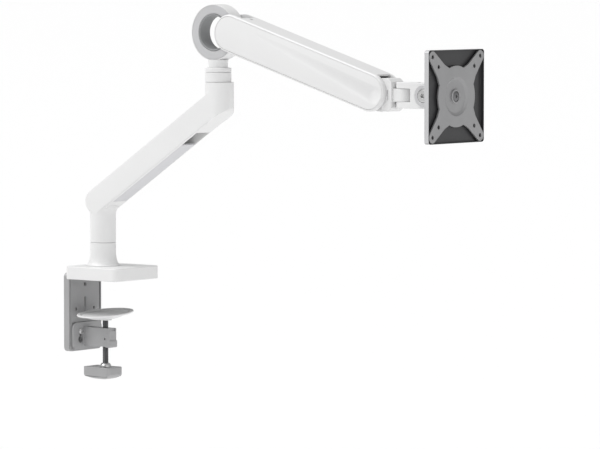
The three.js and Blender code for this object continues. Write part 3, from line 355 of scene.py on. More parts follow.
def surface(
    name,
    color,
    roughness,
    metallic=0.0,
    tint=0.05,
    uneven=0.06,
    grain=(1500, 0.02),
    brushed=None,
    coat=0.0,
):
    """A material with patches of tint, patches and scuffs of gloss, and a grain of (scale, depth in mm)."""
    made = bpy.data.materials.new(name)
    made.use_nodes = True
    tree = made.node_tree
    shader = tree.nodes["Principled BSDF"]
    shader.inputs["Metallic"].default_value = metallic
    shader.inputs["Coat Weight"].default_value = coat
    shader.inputs["Coat Roughness"].default_value = 0.25
    place = node(tree, "ShaderNodeTexCoord").outputs["Object"]

    patches = noise(tree, place, PATCH_SCALE, 4)
    mixed = node(tree, "ShaderNodeMix", data_type="RGBA")
    colors = [s for s in mixed.inputs if s.type == "RGBA"]
    colors[0].default_value = (*[c * (1 - tint) for c in color], 1)
    colors[1].default_value = (*color, 1)
    tree.links.new(spread(tree, patches, 0, 1), mixed.inputs["Factor"])
    result = [s for s in mixed.outputs if s.type == "RGBA"][0]
    tree.links.new(result, shader.inputs["Base Color"])

    scuffs = noise(tree, place, SCUFF_SCALE, 6, brushed or (1, 1, 0.25))
    gloss = node(tree, "ShaderNodeMath", operation="ADD")
    tree.links.new(spread(tree, patches, roughness - uneven, roughness), gloss.inputs[0])
    tree.links.new(spread(tree, scuffs, 0, uneven), gloss.inputs[1])
    tree.links.new(gloss.outputs["Value"], shader.inputs["Roughness"])

    scale, depth = grain
    fine = noise(tree, place, scale, 2, brushed or (1, 1, 1))
    bump = node(tree, "ShaderNodeBump", Strength=0.35, Distance=depth * MM)
    tree.links.new(fine, bump.inputs["Height"])
    tree.links.new(bump.outputs["Normal"], shader.inputs["Normal"])
    return made


def make_materials():
    return {
        "white_paint": surface("white_paint", (0.79, 0.79, 0.79), 0.42, tint=0.02, coat=0.15),
        "white_plastic": surface("white_plastic", (0.79, 0.79, 0.79), 0.5, tint=0.015, grain=(2600, 0.02)),
        # grey_paint and plate_grey are one grey paint in two tones: the clamp's copy is lighter, as painted
        # light against the shade it sits in under the base, and the monitor plate's copy is darker.
        "grey_paint": surface("grey_paint", (0.42, 0.42, 0.425), 0.45, metallic=0.35, tint=0.1),
        "plate_grey": surface("plate_grey", (0.34, 0.34, 0.345), 0.38, metallic=0.4, tint=0.1),
        # pale_plastic, on the cable cover under the lower arm, is greyer than the white arm: painted shade
        # for the arm's underside.
        "pale_plastic": surface("pale_plastic", (0.62, 0.62, 0.64), 0.5, tint=0.02, grain=(2600, 0.02)),
        "silver_paint": surface("silver_paint", (0.6, 0.6, 0.61), 0.42, metallic=0.35, tint=0.06),
        "dark_plastic": surface("dark_plastic", (0.3, 0.305, 0.31), 0.55, grain=(2200, 0.04)),
        "steel": surface("steel", (0.6, 0.6, 0.6), 0.3, metallic=0.95, brushed=(1, 1, 9)),
        "black_steel": surface("black_steel", (0.19, 0.19, 0.195), 0.32, metallic=0.8, brushed=(1, 1, 7)),
        # The tray's inside is painted near black: painted shade and painted reflection in the hollow behind
        # the spider.
        "tray_painted_shade": surface("tray_painted_shade", (0.035, 0.035, 0.037), 0.4),
        "rubber": surface("rubber", (0.07, 0.07, 0.072), 0.8, grain=(1800, 0.08)),
        "bronze": surface("bronze", (0.5, 0.36, 0.17), 0.4, metallic=0.9),
    }


# ---- Making a piece ----

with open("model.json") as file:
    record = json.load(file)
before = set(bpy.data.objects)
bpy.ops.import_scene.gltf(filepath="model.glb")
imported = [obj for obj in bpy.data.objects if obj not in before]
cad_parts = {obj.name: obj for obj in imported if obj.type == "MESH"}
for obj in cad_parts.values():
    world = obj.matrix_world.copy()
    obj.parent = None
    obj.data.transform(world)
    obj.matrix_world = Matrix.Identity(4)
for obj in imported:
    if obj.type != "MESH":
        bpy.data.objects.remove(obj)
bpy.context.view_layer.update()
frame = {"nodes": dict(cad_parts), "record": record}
MATERIALS = make_materials()
SLOT_OF = {part["node"]: part["material_slot"] for part in frame["record"]["subparts"]}
BODY_OF = {name: body for body, names in frame["record"]["behaviour"]["bodies"].items() for name in names}
EDGE_ANGLE = math.radians(36)  # sharper edges than this are rounded


def smooth(thing, angle=38):
    thing.data.shade_smooth()
    thing.data.set_sharp_from_angle(angle=math.radians(angle))


def rounded_edges(thing, width, segments=3):
    modifier = thing.modifiers.new("edges", "BEVEL")
    modifier.width = width * MM
    modifier.segments = segments
    modifier.limit_method = "ANGLE"
    modifier.angle_limit = EDGE_ANGLE
    modifier.use_clamp_overlap = False
    modifier.miter_outer = "MITER_ARC"
    normals = thing.modifiers.new("normals", "WEIGHTED_NORMAL")
    normals.keep_sharp = True


def softened(thing, width, segments=3):
    """Rounds the edges that a shape has now, before anything is cut out of it."""
    modifier = thing.modifiers.new("soft", "BEVEL")
    modifier.width = width * MM
    modifier.segments = segments
    modifier.limit_method = "ANGLE"
    modifier.angle_limit = EDGE_ANGLE
    return thing


def piece(thing, stands_for, edge=0.0, segments=3):
    """Finishes a piece that stands for a CAD node, with that node's finish and body."""
    thing.name = "look_" + stands_for
    smooth(thing)
    if edge:
        rounded_edges(thing, edge, segments)
    thing.data.materials.clear()
    thing.data.materials.append(MATERIALS[SLOT_OF[stands_for]])
    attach(thing, BODY_OF[stands_for])
    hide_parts(stands_for)
    return thing


def finish_cad_nodes():
    """CAD nodes that stay in sight get their finish and smooth shading."""
    for name, thing in frame["nodes"].items():
        thing.data.materials.clear()
        thing.data.materials.append(MATERIALS[SLOT_OF[name]])
        smooth(thing, 32)


# ---- Base ----


def base_outline(inset):
    back, front, half = BASE_BACK + inset, BASE_BACK + BASE_LENGTH - inset, BASE_WIDTH / 2 - inset
    return rounded_rectangle(back, front, -half, half, BASE_CORNER - min(inset, COVER_WALL))


def make_base():
    notch = SHELF_WIDTH / 2 + GAP
    shell = cut(
        slab("shell", "z", base_outline(0), GAP, BASE_HEIGHT),
        slab("inside", "z", base_outline(COVER_WALL), -1, BASE_HEIGHT - COVER_WALL),
        bar("post_hole", "z", POST_SPIGOT + GAP, 0, BASE_HEIGHT + 1),
        box("shelf_notch", BASE_BACK - 2, BASE_BACK + 6, -notch, notch, -1, SHELF_TOP + GAP),
    )
    piece(shell, "base_cover", edge=1.1, segments=4)
    piece(slab("pad", "z", base_outline(PAD_INSET), 0, PAD_TOP), "base_pad", edge=0.4)

    bottom, seam = BASE_HEIGHT + GAP, POST_SEAM
    flare = [
        (
            POST_FLARE - (POST_FLARE - POST_RADIUS) * math.sin(math.radians(t)),
            bottom + POST_FLARE_HEIGHT * (1 - math.cos(math.radians(t))),
        )
        for t in range(6, 91, 6)
    ]
    profile = [
        (SHAFT_RADIUS + GAP, POST_FOOT),
        (POST_SPIGOT, POST_FOOT),
        (POST_SPIGOT, bottom),
        (POST_FLARE - 0.2, bottom),
        *flare,
        (POST_RADIUS, seam - 0.5),
        (POST_RADIUS - 0.5, seam),
        (SHAFT_RADIUS + GAP, seam),
    ]
    piece(turned("post", profile, closed=True), "base_post")


# ---- Clamp ----


def make_back_plate():
    half, shelf_half = PLATE_WIDTH / 2, SHELF_WIDTH / 2
    back, front = PLATE_FACE - PLATE_THICKNESS, PLATE_FACE + 1
    plate_outline = rounded_rectangle(-half, half, PLATE_BOTTOM, PLATE_TOP, PLATE_CORNER)
    plate = slab("plate", "x", plate_outline, back, PLATE_FACE)
    shelf_end = BASE_BACK + SHELF_REACH
    shelf = box("shelf", PLATE_FACE - 1, shelf_end, -shelf_half, shelf_half, SHELF_BOTTOM, SHELF_TOP)
    groove_floor = PLATE_FACE - GROOVE_DEPTH
    grooves = [
        box("groove", groove_floor, front, y - GROOVE_HALF, y + GROOVE_HALF, GROOVE_BOTTOM, GROOVE_TOP)
        for y in (-half + GROOVE_INSET, half - GROOVE_INSET)
    ]
    holes = [bar("hole", "x", radius, back - 1, front, y, z) for radius, y, z in PLATE_HOLES]
    for y in (-JAW_BOLT_Y, JAW_BOLT_Y):
        holes.append(bar("bolt", "x", KEYHOLE_NECK, back - 1, front, y, JAW_BOLT_Z))
        pocket_floor, pocket_z = PLATE_FACE - POCKET_DEPTH, JAW_BOLT_Z - KEYHOLE_DROP
        holes.append(bar("pocket", "x", KEYHOLE_RADIUS, pocket_floor, front, y, pocket_z))
    slot_outline = rounded_rectangle(-SLOT_HALF, SLOT_HALF, SLOT_BOTTOM, SLOT_TOP, SLOT_HALF - 0.1)
    slot = slab("slot", "x", slot_outline, back - 1, front)
    piece(cut(join(plate, shelf), *grooves, *holes, slot), "clamp_back_plate", edge=0.8)


def keyhole(y):
    front = PLATE_FACE + JAW_FLANGE_THICKNESS + 1.3
    bottom = JAW_BOLT_Z - KEYHOLE_DROP
    low = bar("low", "x", KEYHOLE_RADIUS, PLATE_FACE, front, y, bottom)
    neck = box("neck", PLATE_FACE, front, y - KEYHOLE_NECK, y + KEYHOLE_NECK, bottom, JAW_BOLT_Z)
    return join(low, neck, bar("high", "x", KEYHOLE_NECK, PLATE_FACE - 0.5, front + 0.5, y, JAW_BOLT_Z))


def make_jaw():
    half = JAW_FLANGE_HALF
    flange = slab(
        "flange",
        "x",
        rounded_rectangle(-half, half, JAW_BOTTOM, JAW_TOP, JAW_CORNER),
        JAW_BACK,
        JAW_BACK + JAW_FLANGE_THICKNESS,
    )
    arm = box("arm", JAW_BACK + 1, JAW_END, -JAW_ARM_HALF, JAW_ARM_HALF, JAW_ARM_BOTTOM, JAW_ARM_TOP)
    toe = slab(
        "toe",
        "y",
        rounded_rectangle(JAW_END - 8, JAW_END + 1.6, JAW_ARM_BOTTOM - 1, JAW_ARM_BOTTOM + 9, 2),
        -JAW_ARM_HALF,
        JAW_ARM_HALF,
    )
    notch = box("notch", JAW_END - 1.5, JAW_END + 1, 2 - JAW_ARM_HALF, JAW_ARM_HALF - 2, JAW_ARM_TOP - 4, 0)
    bore = bar("bore", "z", SCREW_RADIUS + GAP, JAW_ARM_BOTTOM - 2, JAW_ARM_TOP + 1, SCREW_X)
    side = (-2 * JAW_ARM_HALF, 2 - JAW_ARM_HALF)
    side_hole = bar("side", "y", SIGHT_HOLE_RADIUS, *side, SIGHT_HOLE_X, SIGHT_HOLE_Z)
    keyholes = [keyhole(y) for y in (-JAW_BOLT_Y, JAW_BOLT_Y)]
    body = softened(join(flange, arm, toe), 0.6)
    piece(cut(body, notch, bore, side_hole, *keyholes), "jaw_bracket")


def make_jaw_bolt(number, y):
    head = JAW_BACK + JAW_FLANGE_THICKNESS + GAP
    profile = [
        (JAW_BOLT_RADIUS, PLATE_FACE - PLATE_THICKNESS + 0.5),
        (JAW_BOLT_RADIUS, head),
        (JAW_HEAD_RADIUS, head),
        (3.9, head + 0.9),
        (3.3, head + 1.9),
        (2.2, head + 2.4),
    ]
    bolt = turned("bolt", profile, (0, y, JAW_BOLT_Z), "x", 48)
    piece(cut(bolt, hexagon("socket", "x", 1.6, head + 1, head + 4, y, JAW_BOLT_Z)), f"jaw_bolt_{number}")


def oval(name, profile):
    """A skin over ovals, from (inset from the disc's edge, height) points, first and last on flat faces."""
    steps = 128
    rings = []
    for inset, height in profile:
        scale = 1 - inset / DISC_LENGTH
        ring = []
        for i in range(steps):
            angle = 2 * math.pi * i / steps
            x = DISC_DEPTH * scale * math.cos(angle)
            y = DISC_LENGTH * scale * math.sin(angle)
            ring.append((x * MM, y * MM, height * MM))
        rings.append(ring)
    return lofted(name, rings)


def make_disc():
    top = DISC_TOP - BALL_Z
    under = top - DISC_THICKNESS
    profile = [
        (26, under),
        (24.5, under),
        (21, under + 0.7),
        (17, under + 1.9),
        (12, top - 4.6),
        (7, top - 3.5),
        (2.5, top - 2.6),
        (0.8, top - 2.1),
        (0.1, top - 1.5),
        (0, top - 0.9),
        (0.4, top - 0.2),
        (1, top),
        (DISC_RIM - 0.7, top),
        (DISC_RIM, top - 0.5),
        (DISC_RIM + 3, top - 2.2),
    ]
    disc = cut(oval("disc", profile), bar("socket", "z", DISC_SOCKET, under - 2, top + 1))
    piece(moved(disc, ON_DISC), "pressure_disc")
    inset = DISC_RIM + 3.3
    pad = oval("pad", [(inset, top - 1.9), (inset, top - 1.1), (inset + 0.5, top - 0.8), (30, top - 0.9)])
    piece(moved(pad, ON_DISC), "disc_pad")


def make_clamp_screw():
    """A rod with a helical thread, drawn as one skin whose radius rises and falls along the helix."""
    bottom, thread_top = KNOB_TOP - 6, BALL_Z - 7.2
    steps = 36
    rows_per_turn = 10
    depth = 0.62
    rows = int((thread_top - bottom) / THREAD_PITCH * rows_per_turn)
    rings = []
    for row in range(rows + 1):
        z = bottom + (thread_top - bottom) * row / rows
        ring = []
        for i in range(steps):
            turn = (z / THREAD_PITCH - i / steps) % 1.0
            radius = SCREW_RADIUS - depth * max(0.0, 2 * abs(turn - 0.5) - 0.12)
            angle = 2 * math.pi * i / steps
            ring.append(((SCREW_X + radius * math.cos(angle)) * MM, radius * math.sin(angle) * MM, z * MM))
        rings.append(ring)
    ball_end = ((3, -5.9), (3, -3.9), (4.6, -2.5), (5, -1.1), (5, 0.5), (4.4, 1.7), (3, 2.4))
    angles = [2 * math.pi * i / steps for i in range(steps)]
    for radius, lift in ball_end:
        z = BALL_Z + lift
        ring = [(SCREW_X + radius * math.cos(t), radius * math.sin(t), z) for t in angles]
        rings.append([Vector(point) * MM for point in ring])
    piece(lofted("screw", rings), "clamp_screw")


def make_knob():
    radius, hole_radius = KNOB_COLLAR_RADIUS, SCREW_RADIUS + GAP
    profile = [
        (hole_radius, KNOB_TOP + GAP),
        (radius - 0.1, KNOB_TOP + GAP),
        (radius, KNOB_TOP + 0.9),
        (radius - 0.4, KNOB_TOP + 2),
        (radius - 1.7, KNOB_TOP + KNOB_COLLAR_HEIGHT - 0.4),
        (radius - 2.3, KNOB_TOP + KNOB_COLLAR_HEIGHT),
        (hole_radius, KNOB_TOP + KNOB_COLLAR_HEIGHT),
    ]
    piece(turned("collar", profile, (SCREW_X, 0, 0), steps=64, closed=True), "knob_collar")

    bottom = KNOB_TOP - KNOB_THICKNESS
    long_end, short_end = SCREW_X - KNOB_LONG, SCREW_X + KNOB_SHORT
    half = KNOB_WIDTH / 2
    long_curve = ((0.85, 3.8), (0.7, 2.4), (0.5, 1.2), (0.3, 0.45), (0.1, 0.05))  # (share, lift)
    short_curve = ((0.1, 0.05), (0.3, 0.4), (0.5, 1.2), (0.7, 2.6), (0.85, 4.3))
    side = [
        (long_end, KNOB_TOP),
        (long_end, KNOB_TOP - 0.64 * KNOB_THICKNESS),
        *[(SCREW_X - share * KNOB_LONG, bottom + lift) for share, lift in long_curve],
        *[(SCREW_X + share * KNOB_SHORT, bottom + lift) for share, lift in short_curve],
        (short_end, KNOB_TOP - 0.6 * KNOB_THICKNESS),
        (short_end, KNOB_TOP),
    ]
    crown = [(share * half, bottom + 0.25 * KNOB_THICKNESS * share**4) for share in (-1, -0.8, -0.6, -0.3, 0)]
    crown += [(-y, z) for y, z in reversed(crown[:-1])]
    end = [(-half, KNOB_TOP), *crown, (half, KNOB_TOP)]
    plan = rounded_rectangle(long_end, short_end, -half, half, 4)
    bar_body = overlap(
        slab("plan", "z", plan, bottom - 1, KNOB_TOP),
        slab("side", "y", side, -half - 1, half + 1),
    )
    bar_body = overlap(bar_body, slab("end", "x", end, long_end - 1, short_end + 1))
    hole = bar("hole", "z", hole_radius, KNOB_TOP - 6.3, KNOB_TOP + 2, SCREW_X)
    piece(cut(bar_body, hole), "clamp_knob", edge=0.8)


# ---- Lower arm ----


def underside_at(x):
    return ARM_END_Z + (x - ARM_END_X) * math.tan(ARM_SLOPE) - ARM_HALF_DEPTH / math.cos(ARM_SLOPE)


def elbow_column():
    front = ELBOW_X + POST_RADIUS + COLUMN_EXTRA
    back = ELBOW_X - POST_RADIUS
    plan = [
        *arc(ELBOW_X + COLUMN_EXTRA, 0, POST_RADIUS, -90, 90),
        *arc(ELBOW_X, 0, POST_RADIUS, 90, 270),
    ]
    foot = COLUMN_FOOT
    side = [
        (back - 1, underside_at(back - 1)),
        (front - foot, underside_at(front - foot)),
        (front - 0.45 * foot, underside_at(front) + 0.05 * foot),
        (front - 0.1 * foot, underside_at(front) + 0.4 * foot),
        (front + 1, underside_at(front) + foot),
        (front + 1, ELBOW_SEAM),
        (back - 1, ELBOW_SEAM),
    ]
    upright = slab("upright", "z", plan, underside_at(back) - 1, ELBOW_SEAM)
    return overlap(upright, slab("side", "y", side, -ARM_HALF_WIDTH - 1, ARM_HALF_WIDTH + 1))


def lower_socket():
    """The round socket, which spreads out under the beam towards the elbow."""
    bottom = POST_SEAM + GAP
    flare = [
        (
            SOCKET_FLARE - (SOCKET_FLARE - POST_RADIUS) * math.cos(math.radians(t)),
            SOCKET_FLARE_TOP - SOCKET_FLARE_HEIGHT * (1 - math.sin(math.radians(t))),
        )
        for t in range(0, 91, 9)
    ]
    profile = [(POST_RADIUS - 0.5, bottom), (POST_RADIUS, bottom + 0.5), *flare, (SOCKET_FLARE, ARM_END_Z)]
    reach = POST_RADIUS
    return overlap(
        turned("socket", profile),
        box("keep", -reach, 2 * reach, -ARM_HALF_WIDTH, ARM_HALF_WIDTH, POST_SEAM, ARM_END_Z + 1),
    )


def beam_outline(inset):
    """The beam's side view: round at its lower end, and upright at its hidden end in the elbow column."""
    half = ARM_HALF_DEPTH - inset
    slant = half * math.tan(ARM_SLOPE)
    return [*arc(0, 0, half, 90, 270), (BEAM_LENGTH - slant, -half), (BEAM_LENGTH + slant, half)]


def make_lower_arm():
    beam = moved(rounded_slab("beam", beam_outline, -ARM_HALF_WIDTH, ARM_HALF_WIDTH, ARM_EDGE), ON_BEAM)
    roof = ARM_HALF_DEPTH - CHANNEL_ROOF
    below = -ARM_HALF_DEPTH - 5
    channel = box("channel", CHANNEL_START, CHANNEL_END, -CHANNEL_HALF, CHANNEL_HALF, below, roof)
    post_bore = bar("post_bore", "z", SOCKET_BORE, POST_SEAM - 1, ARM_END_Z + 6)
    elbow_bore = bar("elbow_bore", "z", SOCKET_BORE, ELBOW_SEAM - 30, ELBOW_SEAM + 1, ELBOW_X)
    body = join(beam, lower_socket(), elbow_column())
    body = cut(body, moved(channel, ON_BEAM), post_bore, elbow_bore)
    piece(body, "lower_arm_body")

    start, half, bottom = CHANNEL_START + GAP, CHANNEL_HALF - GAP, -ARM_HALF_DEPTH
    end, top = start + CABLE_COVER_LENGTH, bottom + CABLE_COVER_THICKNESS
    cover = box("cover", start, end, -half, half, bottom, top)
    piece(moved(cover, ON_BEAM), "cable_cover", edge=0.4)


# ---- Elbow and ring hub ----


def make_elbow():
    centre = (ELBOW_X, 0, 0)
    outer, inner = POST_RADIUS, NECK_RADIUS + GAP
    collar_top = COLLAR_BOTTOM + COLLAR_HEIGHT
    collar = tube("collar", "z", outer, inner, COLLAR_BOTTOM, collar_top, centre, 0.45)
    piece(collar, "elbow_collar")
    trim = tube("trim", "z", outer, inner, TRIM_BOTTOM, TRIM_BOTTOM + TRIM_HEIGHT, centre, 0.6)
    piece(trim, "elbow_trim_ring")


def ring_profile():
    recess = RING_HALF - FACE_THICKNESS - GAP
    shoulder = RING_RADIUS - RING_RIM
    outer = [(RING_RADIUS - 0.35, RING_HALF), (RING_RADIUS, RING_HALF - 0.35)]
    right = [(RING_INNER, recess), (shoulder, recess), (shoulder, RING_HALF), *outer]
    left = [(radius, -height) for radius, height in reversed(right)]
    return right + left


def pivot_holes():
    main = (MAIN_BORE, PIVOT_X, RING_Z)
    link = (LINK_BORE, PIVOT_X + LINK_X, RING_Z + LINK_Z)
    return [bar("pivot", "y", radius, -RING_HALF - 5, RING_HALF + 5, x, z) for radius, x, z in (main, link)]


def make_ring():
    centre = (ELBOW_X, 0, RING_Z)
    drum = turned("drum", ring_profile(), centre, "y", 128, closed=True)
    neck = turned(
        "neck",
        [
            (NECK_RADIUS, COLLAR_BOTTOM),
            (NECK_RADIUS, RING_Z - RING_RADIUS - 6),
            (NECK_RADIUS + 0.4, RING_Z - RING_RADIUS - 1),
            (NECK_RADIUS + 0.4, RING_Z - RING_RADIUS + 1.2),
        ],
        (ELBOW_X, 0, 0),
    )
    bore_end = RING_Z - RING_RADIUS - 0.7
    bore = bar("bore", "z", SHAFT_RADIUS + GAP, COLLAR_BOTTOM - 1, bore_end, ELBOW_X)
    hub = cut(join(drum, neck), *pivot_holes(), bore)
    piece(hub, "hub_ring", edge=0.25, segments=2)
    outer, inner = RING_RADIUS - RING_RIM - GAP, RING_INNER + GAP
    for name, low, high in (
        ("ring_face_near", -RING_HALF, -RING_HALF + FACE_THICKNESS),
        ("ring_face_far", RING_HALF - FACE_THICKNESS, RING_HALF),
    ):
        face = tube(name, "y", outer, inner, low, high, centre, 0.35, 128)
        piece(cut(face, *pivot_holes()), name)
    liner = tube("liner", "y", RING_INNER - GAP, RING_INNER - 2.2, -RING_HALF, RING_HALF, centre, 0.5, 128)
    piece(liner, "ring_liner")


# ---- Upper arm ----


def upper_outline(inset):
    return stadium(HUB_END, TIP_CENTRE, UPPER_DEPTH - inset)


def make_upper_arm():
    far = 60.0
    panel = upper_outline(COVER_INSET)
    skin = UPPER_DEPTH - UPPER_SKIN
    half = CAVITY_HALF
    body = cut(
        rounded_slab("upper", upper_outline, -UPPER_WIDTH, UPPER_WIDTH, UPPER_EDGE),
        box("hub_slot", -far, HUB_SLOT_END, -half, half, -far, far),
        box("cavity", HUB_SLOT_END - 1, TIP_SLOT_START + 1, -half, half, -far, skin),
        box("tip_slot", TIP_SLOT_START, ARM_LENGTH + far, -half, half, -far, far),
        slab("near", "y", panel, -UPPER_WIDTH - 1, -UPPER_WALL_FACE),
        slab("far", "y", panel, UPPER_WALL_FACE, UPPER_WIDTH + 1),
        bar("tension", "z", TENSION_HOLE, 0, far, TENSION_AT),
    )
    piece(moved(body, ON_UPPER_ARM), "upper_arm_frame", edge=0.25, segments=2)
    make_side_cover("side_cover_near", -1)
    make_side_cover("side_cover_far", 1)
    cover = box("bottom", HUB_SLOT_END, TIP_SLOT_START, GAP - half, half - GAP, -UPPER_DEPTH, -skin)
    piece(moved(cover, ON_UPPER_ARM), "arm_bottom_cover", edge=0.4)


def make_side_cover(name, side):
    """A flat panel with a soft edge and a shallow round dimple over the tip's pivot."""

    def panel_outline(inset):
        return stadium(HUB_END, TIP_CENTRE, UPPER_DEPTH - COVER_INSET - GAP - inset)

    low, high = sorted((side * (UPPER_WALL_FACE + GAP), side * UPPER_WIDTH))
    panel = rounded_slab("panel", panel_outline, low, high, 0.7, steps=4)
    dimple = ((3, -0.9), (DIMPLE_RADIUS, -0.8), (DIMPLE_RADIUS + 1.8, 0.5))  # (radius, height over the face)
    profile = [(radius, side * (UPPER_WIDTH + height)) for radius, height in dimple]
    dish = turned("dish", profile, (ARM_LENGTH, 0, 0), "y")
    piece(moved(cut(panel, dish), ON_UPPER_ARM), name)


# ---- Head ----


def make_tip_block():
    half = BLOCK_HALF
    back_outline = [*arc(0, 0, half, 90, 270), (8, -half), (8, half)]
    front_outline = [
        (6.5, -half),
        (BLOCK_FRONT, -half),
        (BLOCK_STEP, -FORK_HALF),
        (BLOCK_STEP, FORK_HALF),
        (BLOCK_FRONT, half),
        (6.5, half),
    ]
    back = slab("back", "y", back_outline, -BLOCK_BACK_WIDTH, BLOCK_BACK_WIDTH)
    front = slab("front", "y", rounded_corners(front_outline, 1.2), -BLOCK_FRONT_WIDTH, BLOCK_FRONT_WIDTH)
    tongue_outline = stadium(BLOCK_STEP - 6, PAN_AT, FORK_RADIUS - 0.6)
    tongue = slab("tongue", "z", tongue_outline, -TONGUE_HALF, TONGUE_HALF)
    above = bar("above", "z", FORK_RADIUS + 1, TONGUE_HALF, 30, PAN_AT)
    below = bar("below", "z", FORK_RADIUS + 1, -30, -TONGUE_HALF, PAN_AT)
    slit_outline = rounded_rectangle(BLOCK_FRONT - 1.6, BLOCK_FRONT, -6.6, 6.6, 0.7)
    slit = slab("slit", "y", slit_outline, -BLOCK_FRONT_WIDTH - 1, -BLOCK_FRONT_WIDTH + 2)
    rod_room = cut(box("room", -30, 10, -4.3, 4.3, -30, 30), bar("boss", "y", 5.8, -10, 10))
    body = join(cut(join(back, front), above, below, rod_room, slit), tongue)
    pins = [
        bar("tip_pin", "y", TIP_BORE, -20, 20),
        bar("gas_pin", "y", LINK_BORE, -9, 9, 0, GAS_PIN_Z),
        bar("link_pin", "y", LINK_BORE, -20, 20, LINK_X, LINK_Z),
        bar("pan_pin", "z", PAN_BORE, -20, 20, PAN_AT),
    ]
    piece(moved(cut(body, *pins), ON_HEAD), "tip_block", edge=0.5)


def make_fork():
    end = TILT_AT + FORK_HALF
    plan = [*arc(PAN_AT, 0, FORK_RADIUS, 90, 270), (end, -FORK_RADIUS), (end, FORK_RADIUS)]
    back = PAN_AT - FORK_RADIUS - 1
    side = [*arc(TILT_AT, 0, FORK_HALF, -90, 90), (back, FORK_HALF), (back, -FORK_HALF)]
    body = overlap(
        slab("plan", "z", plan, -FORK_HALF, FORK_HALF),
        slab("side", "y", side, -FORK_RADIUS - 1, FORK_RADIUS + 1),
    )
    mouth_half = TONGUE_HALF + GAP
    room_half = TILT_TONGUE_HALF + GAP
    tools = [
        box("mouth", back - 1, FORK_WEB, -20, 20, -mouth_half, mouth_half),
        box("tilt_room", FORK_WEB + 5, end + 5, -room_half, room_half, -30, 30),
        bar("pan_bore", "z", PAN_BORE, -20, 20, PAN_AT),
        bar("tilt_bore", "y", TILT_BORE, -20, 20, TILT_AT),
        bar("upper_mark", "z", FORK_MARK, FORK_HALF - 3, FORK_HALF + 1, FORK_WEB + 2),
        bar("lower_mark", "z", FORK_MARK, -FORK_HALF - 1, 3 - FORK_HALF, FORK_WEB + 2),
    ]
    piece(moved(cut(body, *tools), ON_HEAD), "pan_fork", edge=0.9)


def make_tilt_joint():
    for name, side in (("tilt_disc_near", -1), ("tilt_disc_far", 1)):
        low, high = sorted((side * (FORK_RADIUS + GAP), side * (FORK_RADIUS + GAP + TILT_DISC_THICKNESS)))
        disc = tube(name, "y", TILT_DISC, TILT_HEAD + GAP, low, high, (TILT_AT, 0, 0), 0.5)
        piece(moved(disc, ON_HEAD), name)
    face = -FORK_RADIUS - GAP
    head = face - TILT_DISC_THICKNESS - 0.6
    profile = [
        (TILT_HEAD - 1.4, head),
        (TILT_HEAD - 0.3, head + 0.5),
        (TILT_HEAD, head + 1.2),
        (TILT_HEAD, face),
        (4, face),
        (4, FORK_RADIUS + 1.6),
    ]
    bolt = turned("bolt", profile, (TILT_AT, 0, 0), "y", 64)
    socket = hexagon("socket", "y", 3.4, head - 1, head + 3, TILT_AT)
    piece(moved(cut(bolt, socket), ON_HEAD), "tilt_bolt", edge=0.15, segments=2)

    nut = hexagon("nut", "y", 7.4, FORK_RADIUS + GAP, FORK_RADIUS + 3.1, TILT_AT)
    nut = cut(nut, bar("thread", "y", TILT_BORE, 0, 30, TILT_AT))
    piece(moved(nut, ON_HEAD), "tilt_nut", edge=0.4)


def make_tilt_block():
    clear = TILT_AT + FORK_HALF + 1
    tray_back = PLATE_AT - TRAY_DEPTH
    tongue_outline = stadium(TILT_AT, clear, FORK_HALF - 1.5)
    tongue = slab("tongue", "y", tongue_outline, -TILT_TONGUE_HALF, TILT_TONGUE_HALF)
    tongue = overlap(tongue, box("keep", 0, clear + 0.5, -30, 30, -30, 30))
    half = TILT_SHOULDER_HALF
    shoulder_outline = rounded_rectangle(-FORK_RADIUS, FORK_RADIUS, -half, half, 3)
    shoulder = slab("shoulder", "x", shoulder_outline, clear, tray_back - 5)
    flange = bar("flange", "x", TILT_FLANGE, tray_back - 6.5, tray_back - GAP)
    holes = [
        bar("tilt_bore", "y", TILT_BORE, -20, 20, TILT_AT),
        bar("bolt_bore", "x", ROTATION_BORE, clear - 8, tray_back + 1),
    ]
    piece(moved(cut(join(tongue, shoulder, flange), *holes), ON_HEAD), "tilt_block", edge=0.6)


# ---- Monitor plate ----


def make_tray():
    back, front = PLATE_AT - TRAY_DEPTH, PLATE_AT - GAP
    half, inner = TRAY_HALF, TRAY_HALF - TRAY_RIM
    outer_outline = rounded_rectangle(-half, half, -half, half, TRAY_CORNER)
    inner_outline = rounded_rectangle(-inner, inner, -inner, inner, TRAY_CORNER - TRAY_RIM)
    tray = cut(
        slab("tray", "x", outer_outline, back, front),
        slab("inside", "x", inner_outline, back + TRAY_FLOOR, front + 1),
        bar("bore", "x", ROTATION_BORE, back - 1, front),
    )
    made = piece(moved(tray, ON_HEAD), "vesa_tray", edge=0.4)
    # The tray's floor and inner walls get the near-black painted shade and painted reflection.
    made.data.materials.append(MATERIALS["tray_painted_shade"])
    for face in made.data.polygons:
        x, y, z = (ON_HEAD.inverted() @ face.center) / MM
        if x > back + TRAY_FLOOR - 0.1 and max(abs(y), abs(z)) < inner + 0.1:
            face.material_index = 1


def spider_outline():
    """Four arms that run out of a round hub with soft inner corners."""
    reach = HOLE_SQUARES[0] / 2 * math.sqrt(2)
    made = []
    root = math.degrees(math.asin(SPIDER_ROOT / SPIDER_HUB))
    for quarter in range(4):
        turn = math.radians(45 + 90 * quarter)
        end = [(reach + a, b) for a, b in arc(0, 0, SPIDER_END, -80, 80)]
        foot = SPIDER_HUB * math.cos(math.radians(root)) + 3
        neck = [(foot + 6, -SPIDER_ROOT + 0.9), *end, (foot + 6, SPIDER_ROOT - 0.9)]
        for a, b in neck:
            made.append((a * math.cos(turn) - b * math.sin(turn), a * math.sin(turn) + b * math.cos(turn)))
        middle = 45 + 90 * quarter
        made += arc(0, 0, SPIDER_HUB, middle + root + 5, middle + 90 - root - 5)
    return made


